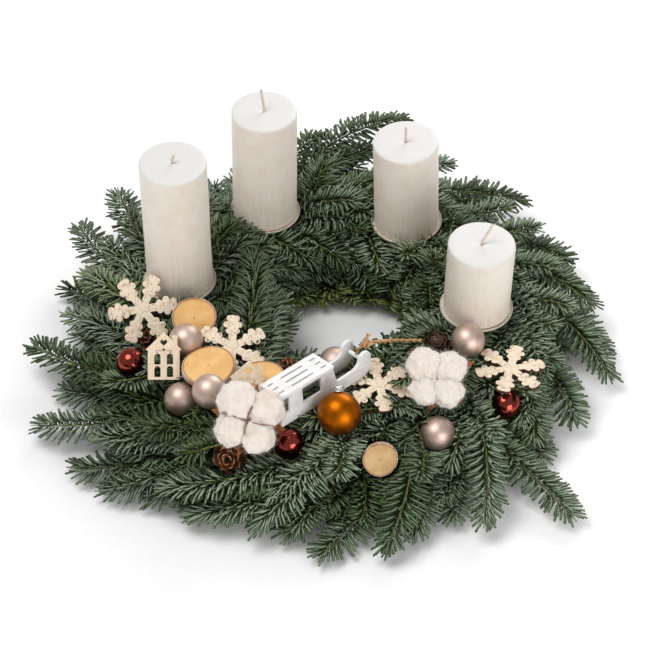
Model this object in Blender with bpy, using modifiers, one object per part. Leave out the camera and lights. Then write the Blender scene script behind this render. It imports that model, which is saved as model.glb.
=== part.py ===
"""An advent wreath: fir sprays bound round a straw ring, four stepped pillar candles on spiked plates,
and a trim of baubles, wooden figures, cones, cotton bolls and a small sledge.

Lengths are in millimetres up to the point where a mesh is made, and metres in the scene. The ring's axis
is the Z axis and the table is the plane z = 0. A place on the ring is given by its azimuth round the
axis and by its section angle round the straw's own centre line: 0 points outwards, 90 up, 180 inwards.
"""

import itertools
import math
import random
from collections import namedtuple

import bmesh
import bpy
import numpy as np
from mathutils import Matrix, Vector
from mathutils.bvhtree import BVHTree

MM = 0.001
FIT = 0.3

# The straw ring and the foliage bound over it
RING_RADIUS = 130.0
RING_STEPS = 36
STRAW_RADIUS = 26.3
STRAW_SIDES = 10
RING_HEIGHT = STRAW_RADIUS * math.sin(math.radians(72))
CORE_INNER = STRAW_RADIUS + FIT + 0.1
CORE_OUTER = 34.5
CORE_FROM, CORE_TO, CORE_STEPS = -36.0, 216.0, 7
BUNCHES = 12
BUNCH_GAP = 2.0
HOLE_CLEAR = 47.0
# The open middle lies this far to the right, because the sprays on the left lean in
HOLE_MIDDLE = 15.0
FLOOR_CLEAR = 1.6

# Needles and twigs
NEEDLE_LENGTH = 20.0
NEEDLE_ROOT = 1.25
NEEDLE_BAND = 1.7
WHORL_PITCH = 14.5
TWIG_ROOT, TWIG_TIP = 2.2, 1.3
BARE_TWIG, LAST_WHORL = 10.0, 5.0
RISE, PULL = 0.34, 0.2
CORE_NEEDLES = 6
SEED = 24

# How a needle may swing sideways and lean forwards, and shorten, where it first finds no room
SWINGS = ((0, 0.85), (0, 1.5), (0.45, 0.9), (-0.45, 0.9), (0, 0.35), (0.8, 1.2), (-0.8, 1.2))
SHORTER = (1.0, 0.72)
NEEDLE_DROOP = 0.12
NEEDLE_TIP = 0.2

# Clearances: between needles, from the trim, and within one spray
CLEAR, TRIM_CLEAR, OWN_CLEAR = 0.7, 1.6, 0.1

# The needles that trim rests on: their least length, how upright they stand, and their group's number
REST_LEAST, REST_UPRIGHT = 2.0, 0.72
REST_GROUP = 1000
HELD_ELSEWHERE = ("candle", "wick", "pull_cord", "bauble_amber_cap", "sledge_deck")

# Wire that holds the bunches down
WIRE_DIAMETER = 1.2
WIRE_PATH_RADIUS = 29.5

# Pillar candles: foot of the axis, height, lean of the axis
CANDLE_DIAMETER = 60.0
CANDLE_FOOT = 67.6
CandleSpec = namedtuple("CandleSpec", "name x y height lean wick_bend")
CANDLES = (
    CandleSpec("left", -134.5, 18.0, 140.0, (-0.007, 0.003), (1.5, -1.0, 9.0)),
    CandleSpec("back_left", -58.7, 114.2, 120.0, (0.011, 0.009), (-3.0, 4.0, 21.0)),
    CandleSpec("back_right", 74.4, 99.8, 98.0, (-0.031, -0.015), (0.4, -0.5, 17.0)),
    CandleSpec("right", 134.5, -17.9, 77.0, (0.023, 0.001), (8.5, 4.0, 19.0)),
)
WICK_DIAMETER = 2.0
WICK_SOCKET = 6.0
PLATE_RADIUS = 33.0
PLATE_THICKNESS = 1.0
PIN_RADIUS = 1.5
PIN_UP = 20.0
SPIKE_DOWN, SPIKE_POINT = 30.0, 6.0
SPIKE_HOLE_RADIUS = 1.95

# The photograph's side of the trim faces this way
VIEW_ELEVATION = 43.8
FACING = (0.0, -math.cos(math.radians(VIEW_ELEVATION)), math.sin(math.radians(VIEW_ELEVATION)))

# Baubles: centre and radius
PINK_RADIUS, RED_RADIUS, AMBER_RADIUS = 15.2, 13.4, 19.0
PINK_BAUBLES = (
    (-125.1, -70.6, 77.1),
    (-128.0, -120.3, 53.4),
    (-102.0, -137.6, 80.8),
    (7.2, -73.5, 51.2),
    (124.7, -68.1, 75.0),
    (95.5, -156.2, 48.0),
)
RED_BAUBLES = (
    (-175.4, -70.5, 50.0),
    (-33.2, -171.2, 51.4),
    (157.5, -115.1, 42.0),
)
AMBER_BAUBLE = (10.0, -157.4, 74.0)
CAP_RADIUS, CAP_HEIGHT = 4.2, 5.0

# Flat wooden figures
SNOWFLAKE_RADIUS, SNOWFLAKE_THICKNESS = 32.0, 3.0
FlatSpec = namedtuple("FlatSpec", "centre facing turn")
SNOWFLAKES = (
    FlatSpec((-165.5, -29.4, 76.2), (-0.10, -0.72, 0.69), 14.0),
    FlatSpec((-84.4, -73.1, 70.9), (0.05, -0.30, 0.95), 20.0),
    FlatSpec((45.5, -112.5, 62.8), (-0.02, -0.05, 1.0), 2.0),
    FlatSpec((161.3, -92.1, 62.2), (0.06, 0.06, 1.0), 0.0),
)
HOUSE_WIDTH, HOUSE_WALL, HOUSE_PEAK, HOUSE_THICKNESS = 28.0, 26.0, 42.0, 3.0
HOUSES = (
    FlatSpec((-143.5, -93.4, 80.2), FACING, 0.0),
    FlatSpec((-70.0, -124.1, 75.4), (0.1, -0.72, 0.69), -10.0),
)
SliceSpec = namedtuple("SliceSpec", "centre facing turn long_radius short_radius thickness")
SLICES = (
    SliceSpec((-118.9, -43.7, 78.6), FACING, 0.0, 19.5, 19.0, 5.0),
    SliceSpec((-104.1, -101.1, 73.3), (0.03, -0.09, 0.99), 8.0, 23.5, 22.5, 6.0),
    SliceSpec((-57.1, -108.2, 67.2), (0.0, -0.12, 0.99), 0.0, 19.0, 18.0, 6.0),
    SliceSpec((45.3, -184.0, 45.0), (0.02, -0.80, 0.60), 10.0, 15.2, 15.0, 9.0),
)

# Cones: centre, radius, the way the crown faces, how far the scales stand open
ConeSpec = namedtuple("ConeSpec", "centre radius height crown open")
CONES = (
    ConeSpec((-85.0, -185.5, 47.0), 15.0, 17.0, (-0.1, -0.75, 0.66), 0.42),
    ConeSpec((97.4, -66.3, 71.0), 11.0, 19.0, (-0.2, -0.62, 0.75), 0.26),
    ConeSpec((-160.5, -41.2, 49.4), 11.5, 18.0, (-0.2, -0.3, 0.93), 0.30),
    ConeSpec((-114.7, -35.5, 67.3), 11.0, 17.0, (0.3, -0.3, 0.9), 0.30),
    ConeSpec((-34.8, -89.0, 61.0), 11.0, 18.0, (-0.3, -0.3, 0.9), 0.32),
)

# Cotton bolls: centre, the way the open boll faces, turn of the first lobe, size
CottonSpec = namedtuple("CottonSpec", "centre facing turn lobe_radius reach")
COTTONS = (
    CottonSpec((-67.2, -184.0, 93.3), (0.0, -0.72, 0.69), 30.0, 17.5, 17.0),
    CottonSpec((94.7, -128.2, 85.4), (0.0, -0.66, 0.75), 42.0, 16.0, 15.0),
)
LOBES = 4

# The sledge: its own axes are forward, right and up
SLEDGE_CENTRE = (-24.3, -138.3, 64.8)
SLEDGE_HEADING = 42.2
SLEDGE_ROLL = -7.4
SLEDGE_PITCH = 1.6
SLEDGE_WIDTH, SLEDGE_LENGTH, SLEDGE_HEIGHT = 27.0, 62.0, 32.5
DECK_THICKNESS, RUNNER_THICKNESS = 3.0, 3.0
SLOT_WIDTH = 1.7
BAND_HEIGHT = 12.8
HORN_REACH, HORN_HEIGHT, HORN_RADIUS = 74.2, 26.2, 6.9
DOWEL_RADIUS = 2.0
DOWEL_SPOT = (68.5, 14.6)

# The jute cord: from the dowel between the horns to the small dark cone, through these points
CORD_DIAMETER = 3.0
CORD_ROUTE = (
    (25.3, -90.5, 80.4),
    (28.0, -89.5, 86.3),
    (33.5, -87.5, 89.5),
    (44.0, -82.5, 87.0),
    (57.0, -76.5, 82.0),
    (70.0, -71.0, 77.0),
    (83.6, -67.0, 73.0),
)
CORD_STEP = 6.5

SpraySpec = namedtuple("SpraySpec", "azimuth angle tip_azimuth tip_radius tip_height")

# Long sprays that fan outwards, all leaning the same way round: where each leaves the ring and its tip
OUTER_SPRAYS = (
    SpraySpec(103, 42, 74, 260, 76),
    SpraySpec(96, -8, 90, 262, 16),
    SpraySpec(82, 12, 61, 240, 46),
    SpraySpec(74, -18, 75, 256, 10),
    SpraySpec(65, 38, 42, 254, 46),
    SpraySpec(64, -12, 52, 252, 14),
    SpraySpec(46, 24, 23, 246, 40),
    SpraySpec(40, -14, 30, 250, 12),
    SpraySpec(34, 8, 12, 248, 26),
    SpraySpec(22, 42, 5, 244, 50),
    SpraySpec(10, 30, -9, 264, 34),
    SpraySpec(12, -16, -2, 250, 10),
    SpraySpec(-6, 6, -25, 256, 20),
    SpraySpec(-18, 14, -38, 250, 28),
    SpraySpec(-24, -16, -33, 250, 8),
    SpraySpec(-33, -2, -45, 300, 14),
    SpraySpec(-42, 34, -60, 268, 22),
    SpraySpec(-54, 0, -68, 256, 12),
    SpraySpec(-65, 26, -81, 262, 18),
    SpraySpec(-74, -8, -91, 261, 10),
    SpraySpec(-84, 36, -104, 246, 24),
    SpraySpec(-96, -6, -118, 252, 12),
    SpraySpec(-112, 8, -132, 250, 14),
    SpraySpec(-126, -6, -144, 278, 12),
    SpraySpec(-126, 12, -143, 246, 36),
    SpraySpec(-140, 8, -155, 280, 20),
    SpraySpec(-153, -8, -164, 258, 10),
    SpraySpec(-154, 10, -173, 265, 30),
    SpraySpec(-172, 16, -184, 246, 26),
    SpraySpec(-174, 48, -191, 236, 54),
    SpraySpec(172, 26, 155, 254, 52),
    SpraySpec(168, -14, 165, 252, 12),
    SpraySpec(156, 44, 143, 240, 76),
    SpraySpec(147, -10, 139, 254, 14),
    SpraySpec(140, 46, 124, 222, 80),
    SpraySpec(126, 2, 108, 258, 22),
)

# Shorter sprays over the crown and down the inner wall
CROWN_SPRAYS = (
    SpraySpec(100, 96, 78, 120, 78),
    SpraySpec(87, 72, 70, 158, 74),
    SpraySpec(82, 128, 70, 92, 66),
    SpraySpec(38, 98, 20, 120, 76),
    SpraySpec(27, 72, 8, 160, 70),
    SpraySpec(20, 132, -2, 94, 66),
    SpraySpec(157, 98, 137, 120, 78),
    SpraySpec(152, 66, 132, 166, 74),
    SpraySpec(144, 134, 130, 90, 64),
    SpraySpec(112, 140, 96, 90, 58),
    SpraySpec(172, 140, 156, 88, 60),
    SpraySpec(52, 142, 34, 88, 54),
    SpraySpec(-10, 140, -30, 88, 56),
    SpraySpec(-40, 138, -56, 90, 56),
    SpraySpec(-68, 140, -84, 84, 40),
    SpraySpec(-100, 142, -118, 86, 46),
    SpraySpec(-128, 136, -146, 90, 60),
    SpraySpec(-133, 120, -212, 80, 76),
    SpraySpec(-126, 128, -195, 54, 58),
    SpraySpec(-10, 35, -17, 205, 42),
)


def material(name, colour, roughness, metallic=0.0):
    made = bpy.data.materials.new(name)
    made.use_nodes = True
    shader = made.node_tree.nodes["Principled BSDF"]
    shader.inputs["Base Color"].default_value = (*colour, 1.0)
    shader.inputs["Roughness"].default_value = roughness
    shader.inputs["Metallic"].default_value = metallic
    made.diffuse_color = (*colour, 1.0)
    return made


def clear_scene():
    for obj in list(bpy.data.objects):
        bpy.data.objects.remove(obj, do_unlink=True)
    for held in (bpy.data.meshes, bpy.data.curves, bpy.data.materials):
        for item in list(held):
            held.remove(item)


clear_scene()
PARTS = bpy.data.collections.new("advent_wreath")
CUTTERS = bpy.data.collections.new("cutters")
for collection in (PARTS, CUTTERS):
    bpy.context.scene.collection.children.link(collection)

STRAW = material("straw", (0.55, 0.40, 0.20), 0.85)
WIRE = material("wire", (0.10, 0.16, 0.10), 0.45, 0.9)
FIR = material("fir", (0.045, 0.11, 0.06), 0.6)
WAX = material("wax", (0.80, 0.76, 0.70), 0.5)
WICK = material("wick", (0.75, 0.68, 0.58), 0.9)
PLATE = material("plate", (0.75, 0.72, 0.64), 0.4, 0.3)
PINK = material("pink_glass", (0.50, 0.36, 0.32), 0.35, 0.6)
RED = material("red_glass", (0.16, 0.02, 0.015), 0.12, 0.6)
AMBER = material("amber_glass", (0.45, 0.17, 0.02), 0.3, 0.6)
SILVER = material("silver_cap", (0.8, 0.8, 0.78), 0.3, 1.0)
WHITEWASH = material("whitewashed_wood", (0.78, 0.68, 0.54), 0.8)
PLYWOOD = material("plywood", (0.72, 0.55, 0.40), 0.7)
SLICE = material("slice_wood", (0.70, 0.42, 0.16), 0.7)
CONE = material("cone_scale", (0.20, 0.08, 0.035), 0.7)
COTTON = material("cotton", (0.85, 0.83, 0.80), 1.0)
HUSK = material("husk", (0.40, 0.20, 0.08), 0.8)
PAINT = material("white_paint", (0.82, 0.81, 0.80), 0.5)
JUTE = material("jute", (0.50, 0.28, 0.13), 0.95)


def link(obj, finish, collection=PARTS):
    for held in list(obj.users_collection):
        held.objects.unlink(obj)
    collection.objects.link(obj)
    obj.data.materials.clear()
    if finish:
        obj.data.materials.append(finish)
    return obj


def from_bmesh(name, shape, finish, collection=PARTS):
    """An object in metres from a bmesh in millimetres."""
    bmesh.ops.scale(shape, vec=(MM, MM, MM), verts=shape.verts)
    mesh = bpy.data.meshes.new(name)
    shape.to_mesh(mesh)
    shape.free()
    return link(bpy.data.objects.new(name, mesh), finish, collection)


def frame(centre, facing, turn=0.0):
    """The placing matrix in metres whose z axis is the facing direction and whose y axis climbs."""
    z = Vector(facing).normalized()
    y = (Vector((0, 0, 1)) - z * z.z).normalized()
    x = y.cross(z)
    turned = Matrix((x, y, z)).transposed().to_4x4() @ Matrix.Rotation(math.radians(turn), 4, "Z")
    return Matrix.Translation(Vector(centre) * MM) @ turned


def on_ring(azimuth, angle, distance):
    """The point at a distance from the ring's centre line."""
    a, s = math.radians(azimuth), math.radians(angle)
    reach = RING_RADIUS + distance * math.cos(s)
    return Vector((reach * math.cos(a), reach * math.sin(a), RING_HEIGHT + distance * math.sin(s)))


def turned(name, profile, sides, finish, placing, collection=PARTS):
    """A solid of revolution: the profile runs from the axis down its outer side and back to the axis."""
    shape = bmesh.new()
    points = [shape.verts.new((r, 0, z)) for r, z in profile]
    for a, b in zip(points, points[1:]):
        shape.edges.new((a, b))
    obj = from_bmesh(name, shape, finish, collection)
    screw = obj.modifiers.new("turn", "SCREW")
    screw.steps = screw.render_steps = sides
    screw.use_merge_vertices = True
    screw.merge_threshold = 0.00001
    screw.use_normal_calculate = False
    obj.matrix_world = placing
    return obj


def flat(name, outlines, thickness, finish, placing):
    """A board cut from outlines: the first is its edge and the others are cut out of it."""
    curve = bpy.data.curves.new(name, "CURVE")
    curve.dimensions = "2D"
    curve.fill_mode = "BOTH"
    curve.extrude = thickness * MM / 2
    for outline in outlines:
        spline = curve.splines.new("POLY")
        spline.points.add(len(outline) - 1)
        spline.use_cyclic_u = True
        for point, (x, y) in zip(spline.points, outline):
            point.co = (x * MM, y * MM, 0, 1)
    obj = link(bpy.data.objects.new(name, curve), finish)
    obj.matrix_world = placing
    return obj


def tube(name, points, diameter, finish, resolution=0, closed=False):
    curve = bpy.data.curves.new(name, "CURVE")
    curve.dimensions = "3D"
    curve.bevel_depth = diameter * MM / 2
    curve.bevel_resolution = resolution
    curve.use_fill_caps = not closed
    spline = curve.splines.new("POLY")
    spline.points.add(len(points) - 1)
    spline.use_cyclic_u = closed
    for held, point in zip(spline.points, points):
        held.co = (*(Vector(point) * MM), 1)
    return link(bpy.data.objects.new(name, curve), finish)


def as_mesh(obj):
    """The object remade as a welded mesh with its modifiers applied, in place of the curve."""
    bpy.context.view_layer.update()
    graph = bpy.context.evaluated_depsgraph_get()
    mesh = bpy.data.meshes.new_from_object(obj.evaluated_get(graph))
    shape = bmesh.new()
    shape.from_mesh(mesh)
    bmesh.ops.remove_doubles(shape, verts=shape.verts, dist=1e-6)
    shape.to_mesh(mesh)
    shape.free()
    name, placing, finish = obj.name, obj.matrix_world.copy(), obj.data.materials[0]
    held = obj.users_collection[0]
    bpy.data.objects.remove(obj, do_unlink=True)
    made = link(bpy.data.objects.new(name, mesh), finish, held)
    made.name = name
    made.matrix_world = placing
    return made


def boolean(obj, others, operation, solver="EXACT"):
    """Joins or cuts with every object of a list at once, and removes them."""
    held = bpy.data.collections.new("joining")
    bpy.context.scene.collection.children.link(held)
    for other in others:
        for user in list(other.users_collection):
            user.objects.unlink(other)
        held.objects.link(other)
    step = obj.modifiers.new("join", "BOOLEAN")
    step.operand_type = "COLLECTION"
    step.collection = held
    step.operation = operation
    step.solver = solver
    made = as_mesh(obj)
    for other in list(held.objects):
        bpy.data.objects.remove(other, do_unlink=True)
    bpy.data.collections.remove(held)
    return made


def smooth_route(points, step):
    """Points a step apart along a Catmull-Rom curve through the given ones."""
    held = [Vector(p) for p in points]
    ends = [held[0] * 2 - held[1], *held, held[-1] * 2 - held[-2]]
    fine = []
    for a, b, c, d in zip(ends, ends[1:], ends[2:], ends[3:]):
        for t in np.linspace(0, 1, 20, endpoint=False):
            fine.append(((2 * b) + (c - a) * t + (2 * a - 5 * b + 4 * c - d) * t**2
                         + (3 * b - 3 * c + d - a) * t**3) / 2)
    fine.append(held[-1])
    lengths = np.cumsum([0] + [(q - p).length for p, q in zip(fine, fine[1:])])
    wanted = np.linspace(0, lengths[-1], max(2, round(lengths[-1] / step)) + 1)
    return [Vector([np.interp(w, lengths, [p[k] for p in fine]) for k in range(3)]) for w in wanted]


# Ring, wire and candles


def candle_placing(spec, height=0.0):
    up = Vector((spec.lean[0], spec.lean[1], 1.0)).normalized()
    x = Vector((1, 0, -up.x / up.z)).normalized()
    turned_to = Matrix((x, up.cross(x), up)).transposed().to_4x4()
    foot = Vector((spec.x, spec.y, CANDLE_FOOT))
    return Matrix.Translation((foot + up * height) * MM) @ turned_to


def spike_cutter(spec):
    """The blind hole that a plate's spike leaves in what it is pushed into."""
    shape = bmesh.new()
    depth = SPIKE_DOWN + 4
    bmesh.ops.create_cone(shape, cap_ends=True, segments=8, radius1=SPIKE_HOLE_RADIUS,
                          radius2=SPIKE_HOLE_RADIUS, depth=depth)
    bmesh.ops.translate(shape, verts=shape.verts, vec=(0, 0, -depth / 2))
    cutter = from_bmesh("spike_hole", shape, None, CUTTERS)
    cutter.matrix_world = candle_placing(spec, -PLATE_THICKNESS)
    return cutter


def straw_ring():
    bpy.ops.mesh.primitive_torus_add(
        major_segments=RING_STEPS, minor_segments=STRAW_SIDES,
        major_radius=RING_RADIUS * MM, minor_radius=STRAW_RADIUS * MM,
        location=(0, 0, RING_HEIGHT * MM),
    )
    ring = link(bpy.context.object, STRAW)
    ring.name = ring.data.name = "straw_ring"
    boolean(ring, [spike_cutter(spec) for spec in CANDLES], "DIFFERENCE")


def binding_wire():
    """One closed run of wire: over the ring in every second gap between bunches, and along its edges."""
    points = []
    over = np.linspace(-52, 232, 7)
    apart = 2 * 360 / BUNCHES
    for k in range(BUNCHES // 2):
        angles = over if k % 2 == 0 else over[::-1]
        points += [on_ring(k * apart, angle, WIRE_PATH_RADIUS) for angle in angles]
        points += [on_ring(k * apart + turn, angles[-1], WIRE_PATH_RADIUS) for turn in (15, 30, 45)]
    tube("binding_wire", points, WIRE_DIAMETER, WIRE, closed=True)


def candle(spec):
    r, h = CANDLE_DIAMETER / 2, spec.height
    body = ((0, h - WICK_SOCKET), (1.35, h - WICK_SOCKET), (1.35, h), (r - 1, h), (r, h - 1),
            (r, 0), (PIN_RADIUS + 0.35, 0), (PIN_RADIUS + 0.35, PIN_UP + 1), (0, PIN_UP + 1))
    turned(f"candle_{spec.name}", body, 16, WAX, candle_placing(spec))
    plate = ((0, PIN_UP), (PIN_RADIUS, PIN_UP - 4), (PIN_RADIUS, 0), (PLATE_RADIUS - 2, 0),
             (PLATE_RADIUS, 2.2), (PLATE_RADIUS - 0.6, -PLATE_THICKNESS), (PIN_RADIUS, -PLATE_THICKNESS),
             (PIN_RADIUS, SPIKE_POINT - SPIKE_DOWN), (0, -SPIKE_DOWN))
    turned(f"candle_plate_{spec.name}", plate, 14, PLATE, candle_placing(spec, -FIT))
    top = candle_placing(spec, h)
    bend = Vector(spec.wick_bend)
    route = [Vector((0, 0, 0.4 - WICK_SOCKET)), Vector((0, 0, 1)), bend * 0.35 + Vector((0, 0, 1)),
             bend * 0.75, bend]
    tube(f"wick_{spec.name}", [(top @ (p * MM)) / MM for p in route], WICK_DIAMETER, WICK)


# Trim


def bauble(name, centre, radius, finish, sides=10):
    shape = bmesh.new()
    bmesh.ops.create_uvsphere(shape, u_segments=sides, v_segments=sides * 2 // 3 + 1, radius=radius)
    bmesh.ops.translate(shape, verts=shape.verts, vec=centre)
    return from_bmesh(name, shape, finish)


def amber_cap():
    up = Vector((0.0, 0.60, 0.80)).normalized()
    profile = ((0, CAP_HEIGHT), (CAP_RADIUS - 0.8, CAP_HEIGHT), (CAP_RADIUS, CAP_HEIGHT - 1),
               (CAP_RADIUS, 0), (0, 0))
    foot = Vector(AMBER_BAUBLE) + up * (AMBER_RADIUS + FIT)
    turned("bauble_amber_cap", profile, 10, SILVER, frame(foot, up))


def snowflake_outline():
    """Six arms, each a stalk with a pair of side lobes and a three-lobed head."""
    r = SNOWFLAKE_RADIUS
    half = ((0.36, 0.06), (0.50, 0.19), (0.62, 0.075), (0.78, 0.23), (1.0, 0.08))
    arm = [(0.13, -0.075)] + [(u, -w) for u, w in half] + [(u, w) for u, w in reversed(half)]
    points = []
    for k in range(6):
        c, s = math.cos(math.radians(60 * k)), math.sin(math.radians(60 * k))
        points += [(r * (u * c - w * s), r * (u * s + w * c)) for u, w in arm]
    return points


def arch(x, y, width, height):
    """A window with a round head, from its lower left corner."""
    r = width / 2
    head = [(x + r + r * math.cos(t), y + height - r + r * math.sin(t)) for t in np.linspace(0, math.pi, 5)]
    return [(x, y), (x + width, y), *head]


def heart(x, y, size):
    """A heart about its middle."""
    points = []
    for t in np.linspace(0, 2 * math.pi, 10, endpoint=False):
        points.append((x + size * 0.062 * 8 * math.sin(t) ** 3,
                       y + size * 0.031 * (13 * math.cos(t) - 5 * math.cos(2 * t) - 2 * math.cos(3 * t))))
    return points


def house_outlines():
    w, wall, peak = HOUSE_WIDTH / 2, HOUSE_WALL, HOUSE_PEAK
    base = -peak / 2
    edge = [(-w, base), (w, base), (w, base + wall), (w + 2.2, base + wall), (w - 3.2, base + wall + 5.6),
            (w - 3.2, base + peak - 3), (w - 7.2, base + peak - 3), (w - 7.2, base + peak - 6.0),
            (0, base + peak), (-w - 2.2, base + wall), (-w, base + wall)]
    windows = [arch(x, base + y, 5.4, 9.5) for x in (-8.2, 2.8) for y in (2.5, 13.5)]
    return [edge, *windows, heart(0, base + wall + 6.0, 7.0)]


def wood_slice(name, spec):
    shape = bmesh.new()
    sides = 16
    bmesh.ops.create_cone(shape, cap_ends=True, segments=sides, radius1=1, radius2=1, depth=spec.thickness)
    for v in shape.verts:
        a = math.atan2(v.co.y, v.co.x)
        wobble = 1 + 0.025 * math.sin(2 * a + 1) + 0.02 * math.sin(3 * a)
        v.co.x *= spec.long_radius * wobble
        v.co.y *= spec.short_radius * wobble
    obj = from_bmesh(name, shape, SLICE)
    obj.matrix_world = frame(spec.centre, spec.facing, spec.turn)


def cone(name, spec):
    """An egg-shaped cone whose scales are raised in spiral rows: every second point of the net stands out."""
    shape = bmesh.new()
    around, rows = 10, 7
    bmesh.ops.create_uvsphere(shape, u_segments=around, v_segments=rows, radius=1)
    for v in shape.verts:
        latitude = math.asin(max(-1, min(1, v.co.z)))
        row = round((latitude / math.pi + 0.5) * rows)
        column = round(math.atan2(v.co.y, v.co.x) / (2 * math.pi) * around)
        out = math.hypot(v.co.x, v.co.y)
        raised = (row + column) % 2 == 0 and out > 0.1
        reach = spec.radius * (1.0 if raised else 1.0 - spec.open)
        v.co.x *= reach
        v.co.y *= reach
        v.co.z = v.co.z * spec.height / 2 + (2.2 if raised else 0.0)
    obj = from_bmesh(name, shape, CONE)
    obj.matrix_world = frame(spec.centre, spec.crown)
    return obj


def cotton(index, spec):
    lobes = []
    for k in range(LOBES):
        shape = bmesh.new()
        bmesh.ops.create_icosphere(shape, subdivisions=2, radius=spec.lobe_radius)
        bmesh.ops.scale(shape, vec=(1.12, 0.92, 0.80), verts=shape.verts)
        bmesh.ops.translate(shape, verts=shape.verts, vec=(spec.reach, 0, 0.4 * k))
        lobe = from_bmesh("lobe", shape, COTTON, CUTTERS)
        lobe.matrix_world = frame(spec.centre, spec.facing, spec.turn + 360 / LOBES * k)
        lobes.append(lobe)
    fibre = boolean(lobes[0], lobes[1:], "UNION")
    fibre.name = f"cotton_fibre_{index}"
    link(fibre, COTTON)
    husk(index, spec)


def husk(index, spec):
    """The dry boll behind the cotton: a shallow bowl whose points curl up between the lobes."""
    shape = bmesh.new()
    depth = spec.lobe_radius * 0.80 + 2.0
    middle = shape.verts.new((0, 0, -depth))
    inner, outer = [], []
    for k in range(2 * LOBES):
        a = math.radians(180 / LOBES * (k + 1))
        point = k % 2 == 0
        near, far = spec.reach * 0.75, (spec.reach + spec.lobe_radius * (1.0 if point else 0.25))
        inner.append(shape.verts.new((near * math.cos(a), near * math.sin(a), -depth)))
        lift = -depth * (0.25 if point else 1.0)
        outer.append(shape.verts.new((far * math.cos(a), far * math.sin(a), lift)))
    count = len(inner)
    for k in range(count):
        shape.faces.new((middle, inner[k], inner[(k + 1) % count]))
        shape.faces.new((inner[k], outer[k], outer[(k + 1) % count]))
        shape.faces.new((inner[k], outer[(k + 1) % count], inner[(k + 1) % count]))
    obj = from_bmesh(f"cotton_husk_{index}", shape, HUSK)
    shell = obj.modifiers.new("shell", "SOLIDIFY")
    shell.thickness = 1.2 * MM
    shell.offset = -1.0
    obj.matrix_world = frame(spec.centre, spec.facing, spec.turn)


def sledge_frame():
    heading = Matrix.Rotation(math.radians(SLEDGE_HEADING), 4, "Z")
    roll = Matrix.Rotation(math.radians(SLEDGE_ROLL), 4, "X")
    pitch = Matrix.Rotation(math.radians(SLEDGE_PITCH), 4, "Y")
    return Matrix.Translation(Vector(SLEDGE_CENTRE) * MM) @ heading @ roll @ pitch


def slot(x, y, length):
    l, h = length / 2, SLOT_WIDTH / 2
    return [(x - l, y - h), (x + l, y - h), (x + l, y + h), (x - l, y + h)]


def runner_outline():
    """The side board, whose runner sweeps up at the front into a round-headed horn."""
    half = SLEDGE_LENGTH / 2
    top = SLEDGE_HEIGHT - DECK_THICKNESS - FIT
    bend = BAND_HEIGHT
    sweep = [(HORN_REACH - bend + bend * math.sin(t), bend - bend * math.cos(t))
             for t in np.linspace(0.15, 1.5, 5)]
    middle = (HORN_REACH - HORN_RADIUS, HORN_HEIGHT - HORN_RADIUS)
    head = [(middle[0] + HORN_RADIUS * math.cos(t), middle[1] + HORN_RADIUS * math.sin(t))
            for t in np.linspace(0, math.pi - 0.1, 7)]
    back = [(HORN_REACH - 15.2, bend + 3.8), (HORN_REACH - 22, bend + 0.4), (half + 5, bend),
            (half + 2.6, bend + 1.7)]
    return [(-half, 0), (half, 0), *sweep, *head, *back, (half - 0.5, top), (-half, top)]


def sledge():
    placing = sledge_frame()
    half, third = SLEDGE_LENGTH / 2, SLEDGE_LENGTH / 2 - 7
    rows = (-SLEDGE_WIDTH * 0.27, 0, SLEDGE_WIDTH * 0.27)
    outer = SLEDGE_WIDTH / 2
    edge = [(-half, -outer), (half, -outer), (half, outer), (-half, outer)]
    slots = [slot(x, y, length) for y in rows for x, length in ((-third, 6.5), (0, 25), (third, 6.5))]
    up = Matrix.Translation((0, 0, (SLEDGE_HEIGHT - DECK_THICKNESS / 2) * MM))
    flat("sledge_deck", [edge, *slots], DECK_THICKNESS, PAINT, placing @ up)
    stand = Matrix.Rotation(math.radians(90), 4, "X")
    windows = [slot(x, 20.0, length) for x, length in ((-24.7, 8.6), (5.6, 21.6))]
    windows = [[(x, 20.0 + (y - 20.0) * 15.6 / SLOT_WIDTH) for x, y in window] for window in windows]
    across = SLEDGE_WIDTH / 2 - RUNNER_THICKNESS / 2 - 0.8
    for name, side in (("sledge_runner_left", across), ("sledge_runner_right", -across)):
        away = Matrix.Translation((0, side * MM, 0))
        runner = flat(name, [runner_outline(), *windows], RUNNER_THICKNESS, PAINT, placing @ away @ stand)
        if side < 0:
            shape = bmesh.new()
            length = 2 * across - RUNNER_THICKNESS / 2 - FIT + 0.5
            bmesh.ops.create_cone(shape, cap_ends=True, segments=8, radius1=DOWEL_RADIUS,
                                  radius2=DOWEL_RADIUS, depth=length)
            dowel = from_bmesh("dowel", shape, None, CUTTERS)
            middle = (DOWEL_SPOT[0] * MM, DOWEL_SPOT[1] * MM, -(length / 2 - 0.5) * MM)
            dowel.matrix_world = placing @ away @ stand @ Matrix.Translation(middle)
            boolean(as_mesh(runner), [dowel], "UNION")


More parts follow.
